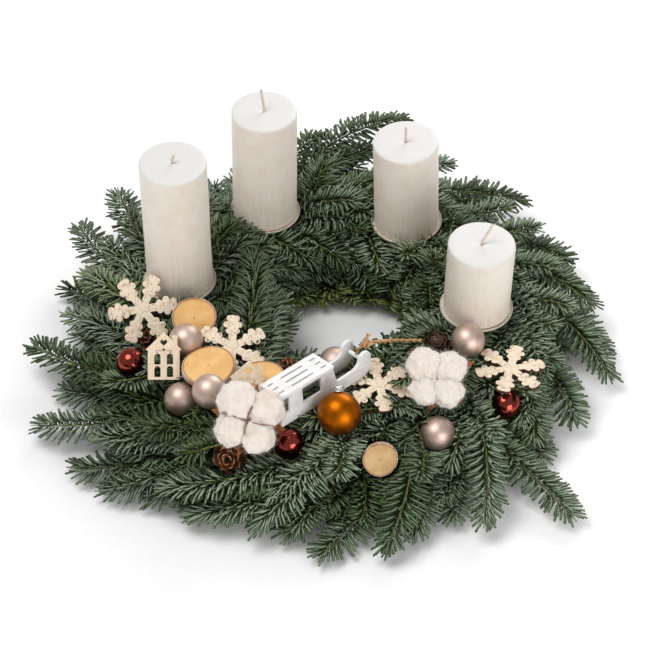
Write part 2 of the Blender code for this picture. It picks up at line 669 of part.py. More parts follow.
def trim():
    for k, centre in enumerate(PINK_BAUBLES, 1):
        bauble(f"bauble_pink_{k}", centre, PINK_RADIUS, PINK)
    for k, centre in enumerate(RED_BAUBLES, 1):
        bauble(f"bauble_red_{k}", centre, RED_RADIUS, RED)
    bauble("bauble_amber", AMBER_BAUBLE, AMBER_RADIUS, AMBER, 12)
    amber_cap()
    for k, spec in enumerate(SNOWFLAKES, 1):
        flat(f"snowflake_{k}", [snowflake_outline()], SNOWFLAKE_THICKNESS, WHITEWASH, frame(*spec))
    for k, spec in enumerate(HOUSES, 1):
        flat(f"house_{k}", house_outlines(), HOUSE_THICKNESS, PLYWOOD, frame(*spec))
    for k, spec in enumerate(SLICES, 1):
        wood_slice(f"wood_slice_{k}", spec)
    for k, spec in enumerate(CONES, 1):
        cone(f"cone_{k}", spec)
    for k, spec in enumerate(COTTONS, 1):
        cotton(k, spec)
    sledge()
    tube("pull_cord", smooth_route(CORD_ROUTE, CORD_STEP), CORD_DIAMETER, JUTE, 2)


# Foliage


class Space:
    """Keeps needles and twigs clear of each other, of the other bunches and of the trim."""

    def __init__(self, obstacles):
        self.trim = BVHTree.FromPolygons(*obstacles)
        self.starts, self.ends, self.radii, self.groups = [], [], [], []

    def add(self, start, end, start_radius, end_radius, group):
        self.starts.append(tuple(start))
        self.ends.append(tuple(end))
        self.radii.append((start_radius, end_radius))
        self.groups.append(group)

    def hits_trim(self, points, radius):
        return any(self.trim.find_nearest(p, radius + TRIM_CLEAR)[0] is not None for p in points)

    def blocked(self, points, tip):
        """Whether a needle meets trim anywhere but at its tip, which ends just short of a piece."""
        reaches = [min(TRIM_CLEAR, (tip - p).length * 0.7 + FIT - 0.02) for p in points]
        return any(self.trim.find_nearest(p, reach)[0] for p, reach in zip(points, reaches))

    def hits_others(self, points, radii, group):
        """Whether a point of a needle lies too near a needle or twig of another spray."""
        if not self.starts:
            return False
        a, b = np.array(self.starts), np.array(self.ends)
        thick = np.array(self.radii)
        same = np.array(self.groups) == group
        along = b - a
        square = (along**2).sum(1) + 1e-9
        for index, (point, radius) in enumerate(zip(points, radii)):
            t = np.clip(((np.array(point) - a) * along).sum(1) / square, 0, 1)
            gap = np.linalg.norm(a + along * t[:, None] - np.array(point), axis=1)
            gap -= thick[:, 0] * (1 - t) + thick[:, 1] * t + radius
            if (gap[~same] < CLEAR).any() or (index > 3 and (gap[same] < OWN_CLEAR).any()):
                return True
        return False


def section_distance(point):
    return math.hypot(math.hypot(point[0], point[1]) - RING_RADIUS, point[2] - RING_HEIGHT)


def outside(point, radius):
    """Whether a point clears the table, the wreath's open middle and every bunch's core."""
    in_hole = abs(point[0] - HOLE_MIDDLE) < HOLE_CLEAR and abs(point[1]) < HOLE_CLEAR
    return point[2] - radius > FLOOR_CLEAR and not in_hole and section_distance(point) > CORE_OUTER + CLEAR


def needle_tip(space, base, outward, forward, length, group):
    """The tip of a needle that finds room, or None: it may swing, lean or shorten a little."""
    side = outward.cross(forward)
    steps = np.linspace(0.12, 1, 9)
    radii = np.linspace(NEEDLE_ROOT, NEEDLE_TIP, len(steps))
    for shorter, (swing, lean) in itertools.product(SHORTER, SWINGS):
        way = (outward + forward * lean + side * swing + Vector((0, 0, NEEDLE_DROOP))).normalized()
        tip = base + way * length * shorter
        points = [base.lerp(tip, t) for t in steps]
        if not all(outside(p, FIT) for p in points[2:]):
            continue
        if not space.hits_trim(points, FIT) and not space.hits_others(points, radii, group):
            return tip
    return None


class Spray:
    """A twig from the ring to its tip, three-sided, with a whorl of three needles at each step."""

    def __init__(self, spec, group):
        self.group = group
        root = on_ring(spec.azimuth, spec.angle, CORE_INNER + 3.0)
        out = (on_ring(spec.azimuth, spec.angle, 100) - root).normalized()
        tip = on_ring(spec.tip_azimuth, 0, spec.tip_radius - RING_RADIUS)
        tip.z = spec.tip_height
        span = (tip - root).length
        pull = root + out * span * RISE + (tip - root) * PULL
        self.at = lambda t: root * (1 - t) ** 2 + pull * 2 * t * (1 - t) + tip * t * t
        self.length = span * 1.06
        self.steps = [(0.0, False)]
        t = BARE_TWIG / self.length
        while t < 1.0 - LAST_WHORL / self.length:
            self.steps.append((t, True))
            self.steps.append((t + NEEDLE_BAND / self.length, False))
            t += WHORL_PITCH / self.length
        self.steps.append((1.0, False))

    def radius(self, t):
        return TWIG_ROOT + (TWIG_TIP - TWIG_ROOT) * min(1.0, t * 1.6)

    def reserve(self, space):
        for t in np.linspace(0.12, 0.92, 9):
            space.add(self.at(t), self.at(t + 0.1), self.radius(t), self.radius(t), self.group)

    def clear_of(self, space):
        points = [self.at(t) for t in np.linspace(0.14, 1, 12)]
        if space.hits_trim(points, TWIG_TIP):
            return False
        return not space.hits_others(points, [TWIG_ROOT] * 12, self.group)

    def build(self, space, draw):
        shape = bmesh.new()
        rings = []
        for index, (t, _) in enumerate(self.steps):
            here = self.at(t)
            forward = (self.at(min(1, t + 0.02)) - self.at(max(0, t - 0.02))).normalized()
            across = forward.cross(Vector((0, 0, 1))).normalized()
            up = across.cross(forward)
            twist = math.radians(60 * ((index + 1) // 2) + 30)
            radius = self.radius(t) if index < len(self.steps) - 1 else TWIG_TIP * 0.4
            ring = []
            for k in range(3):
                a = twist + math.radians(120 * k)
                ring.append(shape.verts.new(here + (across * math.cos(a) + up * math.sin(a)) * radius))
            rings.append((ring, forward, here, t))
        shape.faces.new(rings[0][0][::-1])
        shape.faces.new(rings[-1][0])
        for index in range(len(rings) - 1):
            near, forward, here, t = rings[index]
            far = rings[index + 1][0]
            for k in range(3):
                corners = (near[k], near[(k + 1) % 3], far[(k + 1) % 3], far[k])
                tip = self.needle(space, draw, corners, forward, here, t) if self.steps[index][1] else None
                if tip is None:
                    shape.faces.new((corners[0], corners[1], corners[3]))
                    shape.faces.new((corners[1], corners[2], corners[3]))
                    continue
                point = shape.verts.new(tip)
                for a, b in zip(corners, corners[1:] + corners[:1]):
                    shape.faces.new((a, b, point))
        bmesh.ops.recalc_face_normals(shape, faces=shape.faces)
        return from_bmesh("spray", shape, FIR, CUTTERS)

    def needle(self, space, draw, corners, forward, here, t):
        base = sum((v.co for v in corners), Vector()) / 4
        outward = (base - here - forward * (base - here).dot(forward)).normalized()
        closing = 1 - 0.35 * t**3
        length = NEEDLE_LENGTH * closing * draw.uniform(0.9, 1.08)
        tip = needle_tip(space, base, outward, forward * (1 + 1.2 * t**4), length, self.group)
        if tip is not None:
            space.add(base, tip, NEEDLE_ROOT, NEEDLE_TIP, self.group)
        return tip


def sector_of(azimuth):
    return int(azimuth % 360 // (360 / BUNCHES))


def core_grid(sector):
    """Azimuths and section angles of a bunch's core: it lies on the straw from edge to edge."""
    start = sector * 360 / BUNCHES
    step = 360 / RING_STEPS
    azimuths = [start + BUNCH_GAP / 2, start + step, start + 2 * step, start + 3 * step - BUNCH_GAP / 2]
    return azimuths, np.linspace(CORE_FROM, CORE_TO, CORE_STEPS + 1)


def core_triangles(sector):
    """The outer triangles of a bunch's core, as corner points, in the order in which they are built."""
    azimuths, angles = core_grid(sector)
    top = [[on_ring(a, s, CORE_OUTER) for s in angles] for a in azimuths]
    found = []
    for i in range(len(azimuths) - 1):
        for j in range(len(angles) - 1):
            p, q, r, s = top[i][j], top[i + 1][j], top[i + 1][j + 1], top[i][j + 1]
            found += [(p, q, r), (p, r, s)]
    return found


def seat_trim(objects, space):
    """Gives each piece of trim a needle whose tip it rests on: bunch, triangle and tip."""
    spots = []
    for sector in range(BUNCHES):
        for index, (p, q, r) in enumerate(core_triangles(sector)):
            spots.append((sector, index, (p + q + r) / 3, (q - p).cross(r - p).normalized()))
    seats = {}
    for obj in objects:
        tree = BVHTree.FromPolygons(*world_polygons([obj]))
        best = None
        for sector, index, base, normal in spots:
            found, _, _, gap = tree.find_nearest(base)
            way = (found - base).normalized()
            if index in seats.get(sector, {}) or gap < REST_LEAST or (best and gap > best[0]):
                continue
            tip = found - way * FIT
            points = [base.lerp(tip, t) for t in np.linspace(0.1, 1, 9)]
            if way.dot(normal) < REST_UPRIGHT or space.blocked(points, tip):
                continue
            if not space.hits_others(points, np.linspace(NEEDLE_ROOT, NEEDLE_TIP, 9), REST_GROUP):
                best = (gap, sector, index, base, tip)
        if best:
            _, sector, index, base, tip = best
            seats.setdefault(sector, {})[index] = tip
            space.add(base, tip, NEEDLE_ROOT, NEEDLE_TIP, REST_GROUP + sector)
    return seats


def core_needles(shape, faces, space, draw, group, seats):
    """Raises needles from the outer triangles: those that the trim rests on, and more between them."""
    tips = {faces[index]: tip for index, tip in seats.items()}
    left = [face for face in faces if face not in tips and face.calc_center_median().z > RING_HEIGHT * 0.6]
    draw.shuffle(left)
    for face in left:
        if len(tips) >= CORE_NEEDLES:
            break
        base = face.calc_center_median()
        azimuth = math.atan2(base.y, base.x)
        forward = Vector((math.sin(azimuth), -math.cos(azimuth), 0))
        tip = needle_tip(space, base, face.normal.copy(), forward * draw.uniform(0.4, 1.0),
                         NEEDLE_LENGTH * draw.uniform(0.85, 1.0), group)
        if tip is not None:
            space.add(base, tip, NEEDLE_ROOT, NEEDLE_TIP, group)
            tips[face] = tip
    for face, tip in tips.items():
        raise_needle(shape, face, tip)


def raise_needle(shape, face, tip):
    middle = face.calc_center_median()
    corners = list(face.verts)
    inset = [shape.verts.new(middle + (v.co - middle).normalized() * NEEDLE_ROOT) for v in corners]
    point = shape.verts.new(tip)
    shape.faces.remove(face)
    for k in range(3):
        j = (k + 1) % 3
        shape.faces.new((corners[k], corners[j], inset[j], inset[k]))
        shape.faces.new((inset[k], inset[j], point))


def bunch_core(sector, space, draw, seats):
    azimuths, angles = core_grid(sector)
    shape = bmesh.new()
    layers = [[[shape.verts.new(on_ring(a, s, reach)) for s in angles] for a in azimuths]
              for reach in (CORE_OUTER, CORE_INNER)]
    top, under = layers
    last_a, last_s = len(azimuths) - 1, len(angles) - 1
    outer = []
    for i in range(last_a):
        for j in range(last_s):
            p, q, r, s = top[i][j], top[i + 1][j], top[i + 1][j + 1], top[i][j + 1]
            outer += [shape.faces.new((p, q, r)), shape.faces.new((p, r, s))]
            shape.faces.new((under[i][j + 1], under[i + 1][j + 1], under[i + 1][j], under[i][j]))
    for j in range(last_s):
        shape.faces.new((top[0][j], top[0][j + 1], under[0][j + 1], under[0][j]))
        shape.faces.new((under[last_a][j], under[last_a][j + 1], top[last_a][j + 1], top[last_a][j]))
    for i in range(last_a):
        shape.faces.new((under[i][0], under[i + 1][0], top[i + 1][0], top[i][0]))
        shape.faces.new((top[i][last_s], top[i + 1][last_s], under[i + 1][last_s], under[i][last_s]))
    shape.normal_update()
    bmesh.ops.recalc_face_normals(shape, faces=shape.faces)
    core_needles(shape, outer, space, draw, REST_GROUP + sector, seats)
    bmesh.ops.recalc_face_normals(shape, faces=shape.faces)
    return from_bmesh(f"fir_bunch_{sector + 1:02d}", shape, FIR)


def world_polygons(objects):
    """Points in millimetres and faces of the objects as placed, for the clearance tests."""
    bpy.context.view_layer.update()
    graph = bpy.context.evaluated_depsgraph_get()
    points, faces = [], []
    for obj in objects:
        held = obj.evaluated_get(graph)
        mesh = held.to_mesh()
        first = len(points)
        points += [obj.matrix_world @ v.co / MM for v in mesh.vertices]
        faces += [[first + k for k in polygon.vertices] for polygon in mesh.polygons]
        held.to_mesh_clear()
    return points, faces


def foliage(trim_objects, resting):
    space = Space(world_polygons(trim_objects))
    draw = random.Random(SEED)
    sprays = {}
    for index, spec in enumerate(OUTER_SPRAYS + CROWN_SPRAYS):
        spray = Spray(spec, index)
        if spray.clear_of(space):
            sprays.setdefault(sector_of(spec.azimuth), []).append(spray)
            spray.reserve(space)
    seats = seat_trim(resting, space)
    for sector in range(BUNCHES):
        core = bunch_core(sector, space, draw, seats.get(sector, {}))
        twigs = [spray.build(space, draw) for spray in sprays.get(sector, [])]
        core = boolean(core, twigs, "UNION")
        holes = [spike_cutter(spec) for spec in CANDLES
                 if sector_of(math.degrees(math.atan2(spec.y, spec.x))) == sector]
        if holes:
            boolean(core, holes, "DIFFERENCE")


def main():
    straw_ring()
    binding_wire()
    for spec in CANDLES:
        candle(spec)
    trim()
    trim_objects = [obj for obj in PARTS.objects if obj.name not in ("straw_ring", "binding_wire")]
    resting = [obj for obj in trim_objects if not obj.name.startswith(HELD_ELSEWHERE)]
    foliage(trim_objects, resting)
    bpy.context.scene.collection.children.unlink(CUTTERS)


main()
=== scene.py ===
"""The looks of an advent wreath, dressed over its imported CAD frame.

Lengths are in millimetres up to the point where a mesh is made, and metres in the scene. The ring's axis is
the Z axis and the table is the plane z = 0. A place on the ring is given by its azimuth round the axis and by
its section angle round the straw's own centre line: 0 points outwards, 90 up, 180 inwards.
"""

import logging
import math
import random
from collections.abc import Callable, Iterable, Sequence
from dataclasses import dataclass, field
from enum import Enum
from typing import Any, ClassVar

import bmesh
import bpy
import numpy as np
from mathutils import Matrix, Vector, noise
from mathutils.bvhtree import BVHTree


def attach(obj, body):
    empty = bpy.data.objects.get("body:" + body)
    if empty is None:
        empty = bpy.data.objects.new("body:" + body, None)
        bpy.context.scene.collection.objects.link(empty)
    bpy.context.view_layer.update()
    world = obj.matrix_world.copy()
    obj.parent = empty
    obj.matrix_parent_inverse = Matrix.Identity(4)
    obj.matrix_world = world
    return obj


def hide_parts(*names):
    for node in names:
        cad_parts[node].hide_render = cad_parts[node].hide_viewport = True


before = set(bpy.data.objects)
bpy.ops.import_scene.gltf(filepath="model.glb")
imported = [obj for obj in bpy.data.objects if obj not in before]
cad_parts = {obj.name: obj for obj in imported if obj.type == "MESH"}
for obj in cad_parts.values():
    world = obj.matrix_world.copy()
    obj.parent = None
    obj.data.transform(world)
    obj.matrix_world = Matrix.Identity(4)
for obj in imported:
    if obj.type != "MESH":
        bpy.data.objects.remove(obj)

log = logging.getLogger("wreath")

MM = 0.001
SEED = 24
GOLDEN = math.radians(137.508)

# The ring and the foliage bound over it, as in the part
RING_RADIUS = 130.0
RING_HEIGHT = 25.01
CORE_INNER = 26.7
BUNCHES = 12
# The wreath's open middle, a rounded square that no needle reaches into: its centre and half its sides
HOLE_CENTRE = (23.5, -3.0)
HOLE_REACH = (45.5, 41.5)

# The photograph's side of the trim faces this way
VIEW_ELEVATION = 43.78
FACING = (0.0, -math.cos(math.radians(VIEW_ELEVATION)), math.sin(math.radians(VIEW_ELEVATION)))
# Foliage is combed away from the trim for this far in front of it
TRIM_SHOWS = 45.0

Point = tuple[float, float, float]
Outline = list[tuple[float, float]]
Socket = bpy.types.NodeSocket
Tree = bpy.types.NodeTree
Shape = bmesh.types.BMesh
# A surface's colour, roughness and height pattern
Look = tuple[Socket, Socket, Socket]


# Small tools


def linear(hex_colour: str) -> tuple[float, float, float, float]:
    """An sRGB hex colour as the linear one that a socket takes.

    Args:
        hex_colour: Six digits after a hash.

    Returns:
        Red, green, blue and an alpha of 1.
    """
    parts = [int(hex_colour[k:k + 2], 16) / 255 for k in (1, 3, 5)]
    red, green, blue = (p / 12.92 if p <= 0.04045 else ((p + 0.055) / 1.055) ** 2.4 for p in parts)
    return red, green, blue, 1.0


def add(tree: Tree, kind: str, inputs: dict[Any, Any] | None = None,
        **settings: Any) -> bpy.types.Node:
    """Adds a node with its settings, values and links.

    Args:
        tree: The tree that takes the node.
        kind: The node's type.
        inputs: A value, or a socket to link from, for each input by name or number.
        **settings: The node's own properties.

    Returns:
        The node.
    """
    node = tree.nodes.new(kind)
    for name, value in settings.items():
        setattr(node, name, value)
    for key, value in (inputs or {}).items():
        if isinstance(value, Socket):
            tree.links.new(value, node.inputs[key])
        else:
            node.inputs[key].default_value = value
    return node


def math_of(tree: Tree, operation: str, a: Any, b: Any = 0.0, c: Any = 0.0,
            clamp: bool = False) -> Socket:
    """The result of one sum on numbers or sockets."""
    return add(tree, "ShaderNodeMath", {0: a, 1: b, 2: c}, operation=operation, use_clamp=clamp).outputs[0]


def blend_of(tree: Tree, share: Any, a: Any, b: Any) -> Socket:
    """Two colours, hex or sockets, mixed by a share."""
    first, second = (linear(c) if isinstance(c, str) else c for c in (a, b))
    return add(tree, "ShaderNodeMix", {0: share, 6: first, 7: second}, data_type="RGBA").outputs[2]


def eased(tree: Tree, value: Any, low: float, high: float,
          to_low: float = 0.0, to_high: float = 1.0) -> Socket:
    """A value taken from one range to another along a smooth step."""
    node = add(tree, "ShaderNodeMapRange",
               {"Value": value, "From Min": low, "From Max": high, "To Min": to_low, "To Max": to_high},
               interpolation_type="SMOOTHSTEP")
    return node.outputs["Result"]


class Coordinates(Enum):
    """What a pattern is drawn on."""

    FRAME = "the row frame"
    OWN = "the piece's own axes, kept in an attribute before it was placed"


def place_in(tree: Tree, coordinates: Coordinates,
             stretch: Point = (1.0, 1.0, 1.0)) -> Socket:
    """Coordinates in millimetres, each axis squeezed by its stretch.

    Args:
        tree: The material's tree.
        coordinates: The axes to read.
        stretch: How many times longer the pattern is along each axis.

    Returns:
        A vector socket.
    """
    if coordinates is Coordinates.OWN:
        source, scale = add(tree, "ShaderNodeAttribute", attribute_name="own").outputs["Vector"], 1.0
    else:
        source, scale = add(tree, "ShaderNodeTexCoord").outputs["Object"], 1 / MM
    spread = tuple(scale / s for s in stretch)
    return add(tree, "ShaderNodeMapping", {"Vector": source, "Scale": spread}).outputs[0]


def cloud(tree: Tree, where: Socket, size: float, detail: float = 3.0,
          rough: float = 0.55) -> Socket:
    """Noise between 0 and 1 whose lumps are about a size in millimetres."""
    node = add(tree, "ShaderNodeTexNoise",
               {"Vector": where, "Scale": 1 / size, "Detail": detail, "Roughness": rough})
    return node.outputs["Fac"]


# Finishes


@dataclass(frozen=True)
class Finish:
    """A named surface: its look comes from surface() and its fixed values from constants()."""

    name: str
    relief: float = 0.2

    def constants(self) -> dict[str, Any]:
        """Values that are the same all over the surface, by socket."""
        return {}

    def surface(self, tree: Tree) -> Look:
        """The colour, the roughness and the height pattern."""
        raise NotImplementedError

    def material(self) -> bpy.types.Material:
        """The finish as a material, made once."""
        held = bpy.data.materials.get(self.name)
        if held:
            return held
        made = bpy.data.materials.new(self.name)
        made.use_nodes = True
        tree = made.node_tree
        shader = tree.nodes["Principled BSDF"]
        for socket, value in self.constants().items():
            shader.inputs[socket].default_value = value
        colour, roughness, height = self.surface(tree)
        tree.links.new(colour, shader.inputs["Base Color"])
        tree.links.new(roughness, shader.inputs["Roughness"])
        bump = add(tree, "ShaderNodeBump", {"Height": height, "Distance": self.relief * MM})
        tree.links.new(bump.outputs[0], shader.inputs["Normal"])
        return made


@dataclass(frozen=True)
class Grained(Finish):
    """Two colours run into each other along a grain, with broader patches over it."""

    dark: str = "#808080"
    light: str = "#c0c0c0"
    size: float = 2.0
    stretch: Point = (1.0, 1.0, 1.0)
    coordinates: Coordinates = Coordinates.OWN
    roughness: tuple[float, float] = (0.5, 0.7)
    contrast: tuple[float, float] = (0.35, 0.65)
    fixed: dict[str, Any] = field(default_factory=dict)

    def constants(self) -> dict[str, Any]:
        """The fixed values given with the finish."""
        return self.fixed

    def surface(self, tree: Tree) -> Look:
        """Fine grain for the height, with broad patches added for the colour."""
        where = place_in(tree, self.coordinates, self.stretch)
        fine = cloud(tree, where, self.size)
        broad = cloud(tree, place_in(tree, self.coordinates), self.size * 7, 2.0)
        mixed = math_of(tree, "MULTIPLY_ADD", broad, 0.35, math_of(tree, "MULTIPLY", fine, 0.65))
        share = eased(tree, mixed, *self.contrast)
        return (blend_of(tree, share, self.dark, self.light),
                eased(tree, fine, 0.2, 0.8, *self.roughness), fine)


@dataclass(frozen=True)
class FirNeedles(Finish):
    """Noble fir needles: leathery dark green, yellower on young shoots, with a grey-blue wax coat that is
    also a painted highlight on whichever side faces up, and painted shade at their roots.
    """

    green: str = "#2a4409"
    blue: str = "#385130"
    # Partly the needles' real wax colour, partly a painted highlight: it is laid on whichever side faces up
    bloom_and_highlight: str = "#b4c3a6"
    # Painted shade: near black, laid on each needle's root, where the shoots crowd
    root: str = "#1c2608"
    young: str = "#7f8c35"

    def constants(self) -> dict[str, Any]:
        """Leaf wax is a little glossier than the leaf."""
        return {"Specular IOR Level": 0.6}

    def surface(self, tree: Tree) -> Look:
        """Colour by shoot and by needle, with the wax colour as a painted highlight on the side that faces
        up, and painted shade at the root.
        """
        tone = add(tree, "ShaderNodeAttribute", attribute_name="tone").outputs["Fac"]
        shade = add(tree, "ShaderNodeAttribute", attribute_name="shade").outputs["Fac"]
        reach = add(tree, "ShaderNodeAttribute", attribute_name="reach").outputs["Fac"]
        up = add(tree, "ShaderNodeSeparateXYZ",
                 {0: add(tree, "ShaderNodeTexCoord").outputs["Normal"]}).outputs["Z"]
        old = blend_of(tree, tone, self.green, self.blue)
        base = blend_of(tree, eased(tree, tone, 1.0, 2.0), old, self.young)
        lit = math_of(tree, "MULTIPLY_ADD", shade, 1.30, 0.35)
        toned = add(tree, "ShaderNodeVectorMath", {0: base, "Scale": lit}, operation="SCALE").outputs[0]
        most = math_of(tree, "MULTIPLY_ADD", math_of(tree, "PINGPONG", tone, 1.0), 0.55, 0.06)
        # Painted highlight: the wax colour is laid where the surface faces up, as light from above would
        # brighten it; only part of it is the real wax coat
        wax = math_of(tree, "MULTIPLY", eased(tree, up, 0.1, 1.0), most)
        waxed = blend_of(tree, wax, toned, self.bloom_and_highlight)
        # Painted shade: each needle darkens towards its root, where the twigs crowd and little light comes in
        root_shaded = blend_of(tree, eased(tree, reach, 0.05, 0.5, 0.75, 0.0), waxed, self.root)
        fine = cloud(tree, place_in(tree, Coordinates.FRAME), 1.1)
        return root_shaded, eased(tree, fine, 0.2, 0.8, 0.30, 0.48), fine


@dataclass(frozen=True)
class Wax(Finish):
    """Frosted paraffin wax, cast in a cold mould: pearly, streaked down its side, mottled near its foot."""

    body: str = "#ece4d9"
    streak: str = "#e4d2bd"
    # Partly frosted wax, partly painted shade: greyer than the body, so that the top, which takes the most
    # light, reads less bright
    top_frost_and_shade: str = "#dddbd8"
    fleck: str = "#f0ebe4"
    height: float = 100.0

    def constants(self) -> dict[str, Any]:
        """Light goes a few millimetres into wax, and a thin lacquer gives the pearl."""
        return {"Subsurface Weight": 0.25, "Subsurface Radius": (1.0, 0.72, 0.5), "Subsurface Scale": 0.004,
                "Coat Weight": 0.12, "Coat Roughness": 0.35, "Specular IOR Level": 0.45}

    def surface(self, tree: Tree) -> Look:
        """Upright streaks on the side, frosty flecks that thicken towards the foot, and a frosted flat top
        whose greyer colour is also painted shade against the stronger light on top.
        """
        own = place_in(tree, Coordinates.OWN)
        streaks = cloud(tree, place_in(tree, Coordinates.OWN, (1.0, 1.0, 14.0)), 2.4, 4.0)
        flecks = cloud(tree, own, 1.5, 5.0, 0.7)
        clouds = cloud(tree, own, 16.0, 2.0)
        level = add(tree, "ShaderNodeSeparateXYZ", {0: own}).outputs["Z"]
        low = eased(tree, level, 0.0, self.height * 0.62, 1.0, 0.0)
        # Painted shade: the flat top takes a greyer colour than the side, to offset the stronger light that
        # falls on it
        top = eased(tree, level, self.height - 3.5, self.height - 0.8)
        worn = math_of(tree, "MULTIPLY", low, eased(tree, streaks, 0.30, 0.62), clamp=True)
        patch = math_of(tree, "MULTIPLY", eased(tree, clouds, 0.42, 0.66), 0.35)
        stain = math_of(tree, "MULTIPLY_ADD", worn, 0.9, patch, clamp=True)
        stained = blend_of(tree, stain, self.body, self.streak)
        flecked = math_of(tree, "MULTIPLY", low, eased(tree, flecks, 0.47, 0.62))
        colour = blend_of(tree, top, blend_of(tree, flecked, stained, self.fleck), self.top_frost_and_shade)
        relief = math_of(tree, "MULTIPLY_ADD", flecks, 0.6, math_of(tree, "MULTIPLY", streaks, 0.4))
        return colour, eased(tree, flecks, 0.3, 0.7, 0.38, 0.6), relief


@dataclass(frozen=True)
class Lacquer(Finish):
    """A blown glass ball, silvered inside and lacquered outside: a tinted mirror, blurred if it is satin."""

    colour: str = "#b49487"
    deep: str = "#8c6a60"
    gloss: tuple[float, float] = (0.3, 0.36)
    silvering: float = 1.0

    def constants(self) -> dict[str, Any]:
        """The silvering makes the reflection take the lacquer's colour."""
        return {"Metallic": self.silvering}

    def surface(self, tree: Tree) -> Look:
        """The lacquer pools a little, and dust makes its roughness uneven."""
        pooled = cloud(tree, place_in(tree, Coordinates.FRAME), 9.0, 2.0)
        dust = cloud(tree, place_in(tree, Coordinates.FRAME), 0.6, 4.0)
        colour = blend_of(tree, eased(tree, pooled, 0.3, 0.8, 0.0, 0.5), self.colour, self.deep)
        return colour, eased(tree, dust, 0.3, 0.7, *self.gloss), dust


@dataclass(frozen=True)
class Whitewash(Finish):
    """Lime-washed poplar plywood: a rough cream coat, worn to the wood in patches and finely cracked."""

    coat: str = "#ecdcc5"
    wood: str = "#caa57c"
    pore: str = "#7a5030"

    def surface(self, tree: Tree) -> Look:
        """Lumps of lime with bare wood between them, and fine dark cracks that run with the grain."""
        lumps = cloud(tree, place_in(tree, Coordinates.OWN), 2.2, 5.0, 0.62)
        grain = cloud(tree, place_in(tree, Coordinates.OWN, (7.0, 1.0, 1.0)), 0.9, 3.0)
        bare = blend_of(tree, eased(tree, lumps, 0.30, 0.50), self.wood, self.coat)
        creep = cloud(tree, place_in(tree, Coordinates.OWN, (1.0, 2.5, 1.0)), 9.0, 4.0, 0.6)
        line = math_of(tree, "ABSOLUTE", math_of(tree, "SUBTRACT", creep, 0.5))
        crack = math_of(tree, "MULTIPLY", eased(tree, line, 0.004, 0.018, 1.0, 0.0),
                        eased(tree, lumps, 0.42, 0.52))
        colour = blend_of(tree, math_of(tree, "MULTIPLY", crack, 0.8), bare, self.pore)
        return colour, eased(tree, lumps, 0.3, 0.7, 0.75, 0.95), math_of(tree, "ADD", lumps, grain)


@dataclass(frozen=True)
class SawnWood(Finish):
    """A sawn slice of a birch branch: pale honey wood, faint year rings round the pith, a dark line
    under the bark and fine saw marks."""

    wood: str = "#f0c37f"
    ring: str = "#dda45c"
    heart: str = "#9a6a38"
    bast: str = "#8f5a30"
    ring_spacing: float = 1.6

    def surface(self, tree: Tree) -> Look:
        """Rings about the piece's own axis, bent by noise, with a dark pith and a dark line at the bark."""
        own = place_in(tree, Coordinates.OWN)
        flat = add(tree, "ShaderNodeVectorMath", {0: own, 1: (1, 1, 0)}, operation="MULTIPLY").outputs[0]
        away = add(tree, "ShaderNodeVectorMath", {0: flat}, operation="LENGTH").outputs["Value"]
        bent = math_of(tree, "MULTIPLY_ADD", cloud(tree, own, 9.0, 3.0), 5.0, away)
        rings = math_of(tree, "SINE", math_of(tree, "MULTIPLY", bent, 2 * math.pi / self.ring_spacing))
        speck = cloud(tree, own, 0.5, 4.0)
        broad = cloud(tree, own, 12.0, 2.0)
        share = math_of(tree, "MULTIPLY_ADD", eased(tree, rings, -0.2, 1.0), 0.16,
                        math_of(tree, "MULTIPLY", eased(tree, broad, 0.35, 0.7), 0.5))
        warm = blend_of(tree, share, self.wood, self.ring)
        pithed = blend_of(tree, eased(tree, away, 0.3, 1.6, 0.6, 0.0), warm, self.heart)
        out = add(tree, "ShaderNodeAttribute", attribute_name="reach").outputs["Fac"]
        colour = blend_of(tree, eased(tree, out, 0.95, 0.985, 0.0, 0.85), pithed, self.bast)
        return colour, eased(tree, speck, 0.3, 0.7, 0.55, 0.75), math_of(tree, "ADD", speck, share)


@dataclass(frozen=True)
class ConeScales(Finish):
    """Woody cone scales: dark and ribbed inside, near black at their roots as painted shade, worn to a tan
    edge where they end.
    """

    # Partly the scales' real dark inside, partly painted shade: near black where they crowd round the cone's
    # middle
    inner: str = "#1e0e07"
    middle: str = "#7a4124"
    edge: str = "#c9976a"

    def surface(self, tree: Tree) -> Look:
        """Colour by how far out on its scale a point lies, near black at the root as painted shade over the
        wood's own dark brown, broken up by woody grain.
        """
        reach = add(tree, "ShaderNodeAttribute", attribute_name="reach").outputs["Fac"]
        grain = cloud(tree, place_in(tree, Coordinates.FRAME), 0.8, 4.0, 0.6)
        out = math_of(tree, "MULTIPLY_ADD", math_of(tree, "SUBTRACT", grain, 0.5), 0.5, reach)
        # Painted shade: the scales' roots, in the cone's hollow middle, take a near-black colour on top of
        # their real dark brown
        body = blend_of(tree, eased(tree, out, 0.35, 0.90), self.inner, self.middle)
        colour = blend_of(tree, eased(tree, out, 0.88, 1.02), body, self.edge)
        return colour, eased(tree, grain, 0.3, 0.7, 0.5, 0.75), grain


# The needles' colour holds a painted highlight on the sides that face up and painted shade at their roots
FIR_NEEDLES = FirNeedles("waxed fir needles", 0.05)
# Young fir bark: thin, olive to yellow-green and finely ridged
FIR_BARK = Grained("young fir bark", 0.2, "#40461c", "#767c38", 0.8, coordinates=Coordinates.FRAME,
                   roughness=(0.7, 0.9))
# Rye straw, wound in bundles: glossy yellow stalks about 3 mm across
STRAW = Grained("wound rye straw", 0.6, "#8a6a34", "#d9bb78", 3.0, coordinates=Coordinates.FRAME,
                roughness=(0.45, 0.7))
# Annealed iron binding wire with a green lacquer, rubbed through here and there
WIRE = Grained("green lacquered wire", 0.05, "#1d2a1c", "#3c5236", 1.5, coordinates=Coordinates.FRAME,
               roughness=(0.3, 0.5), fixed={"Metallic": 0.6})
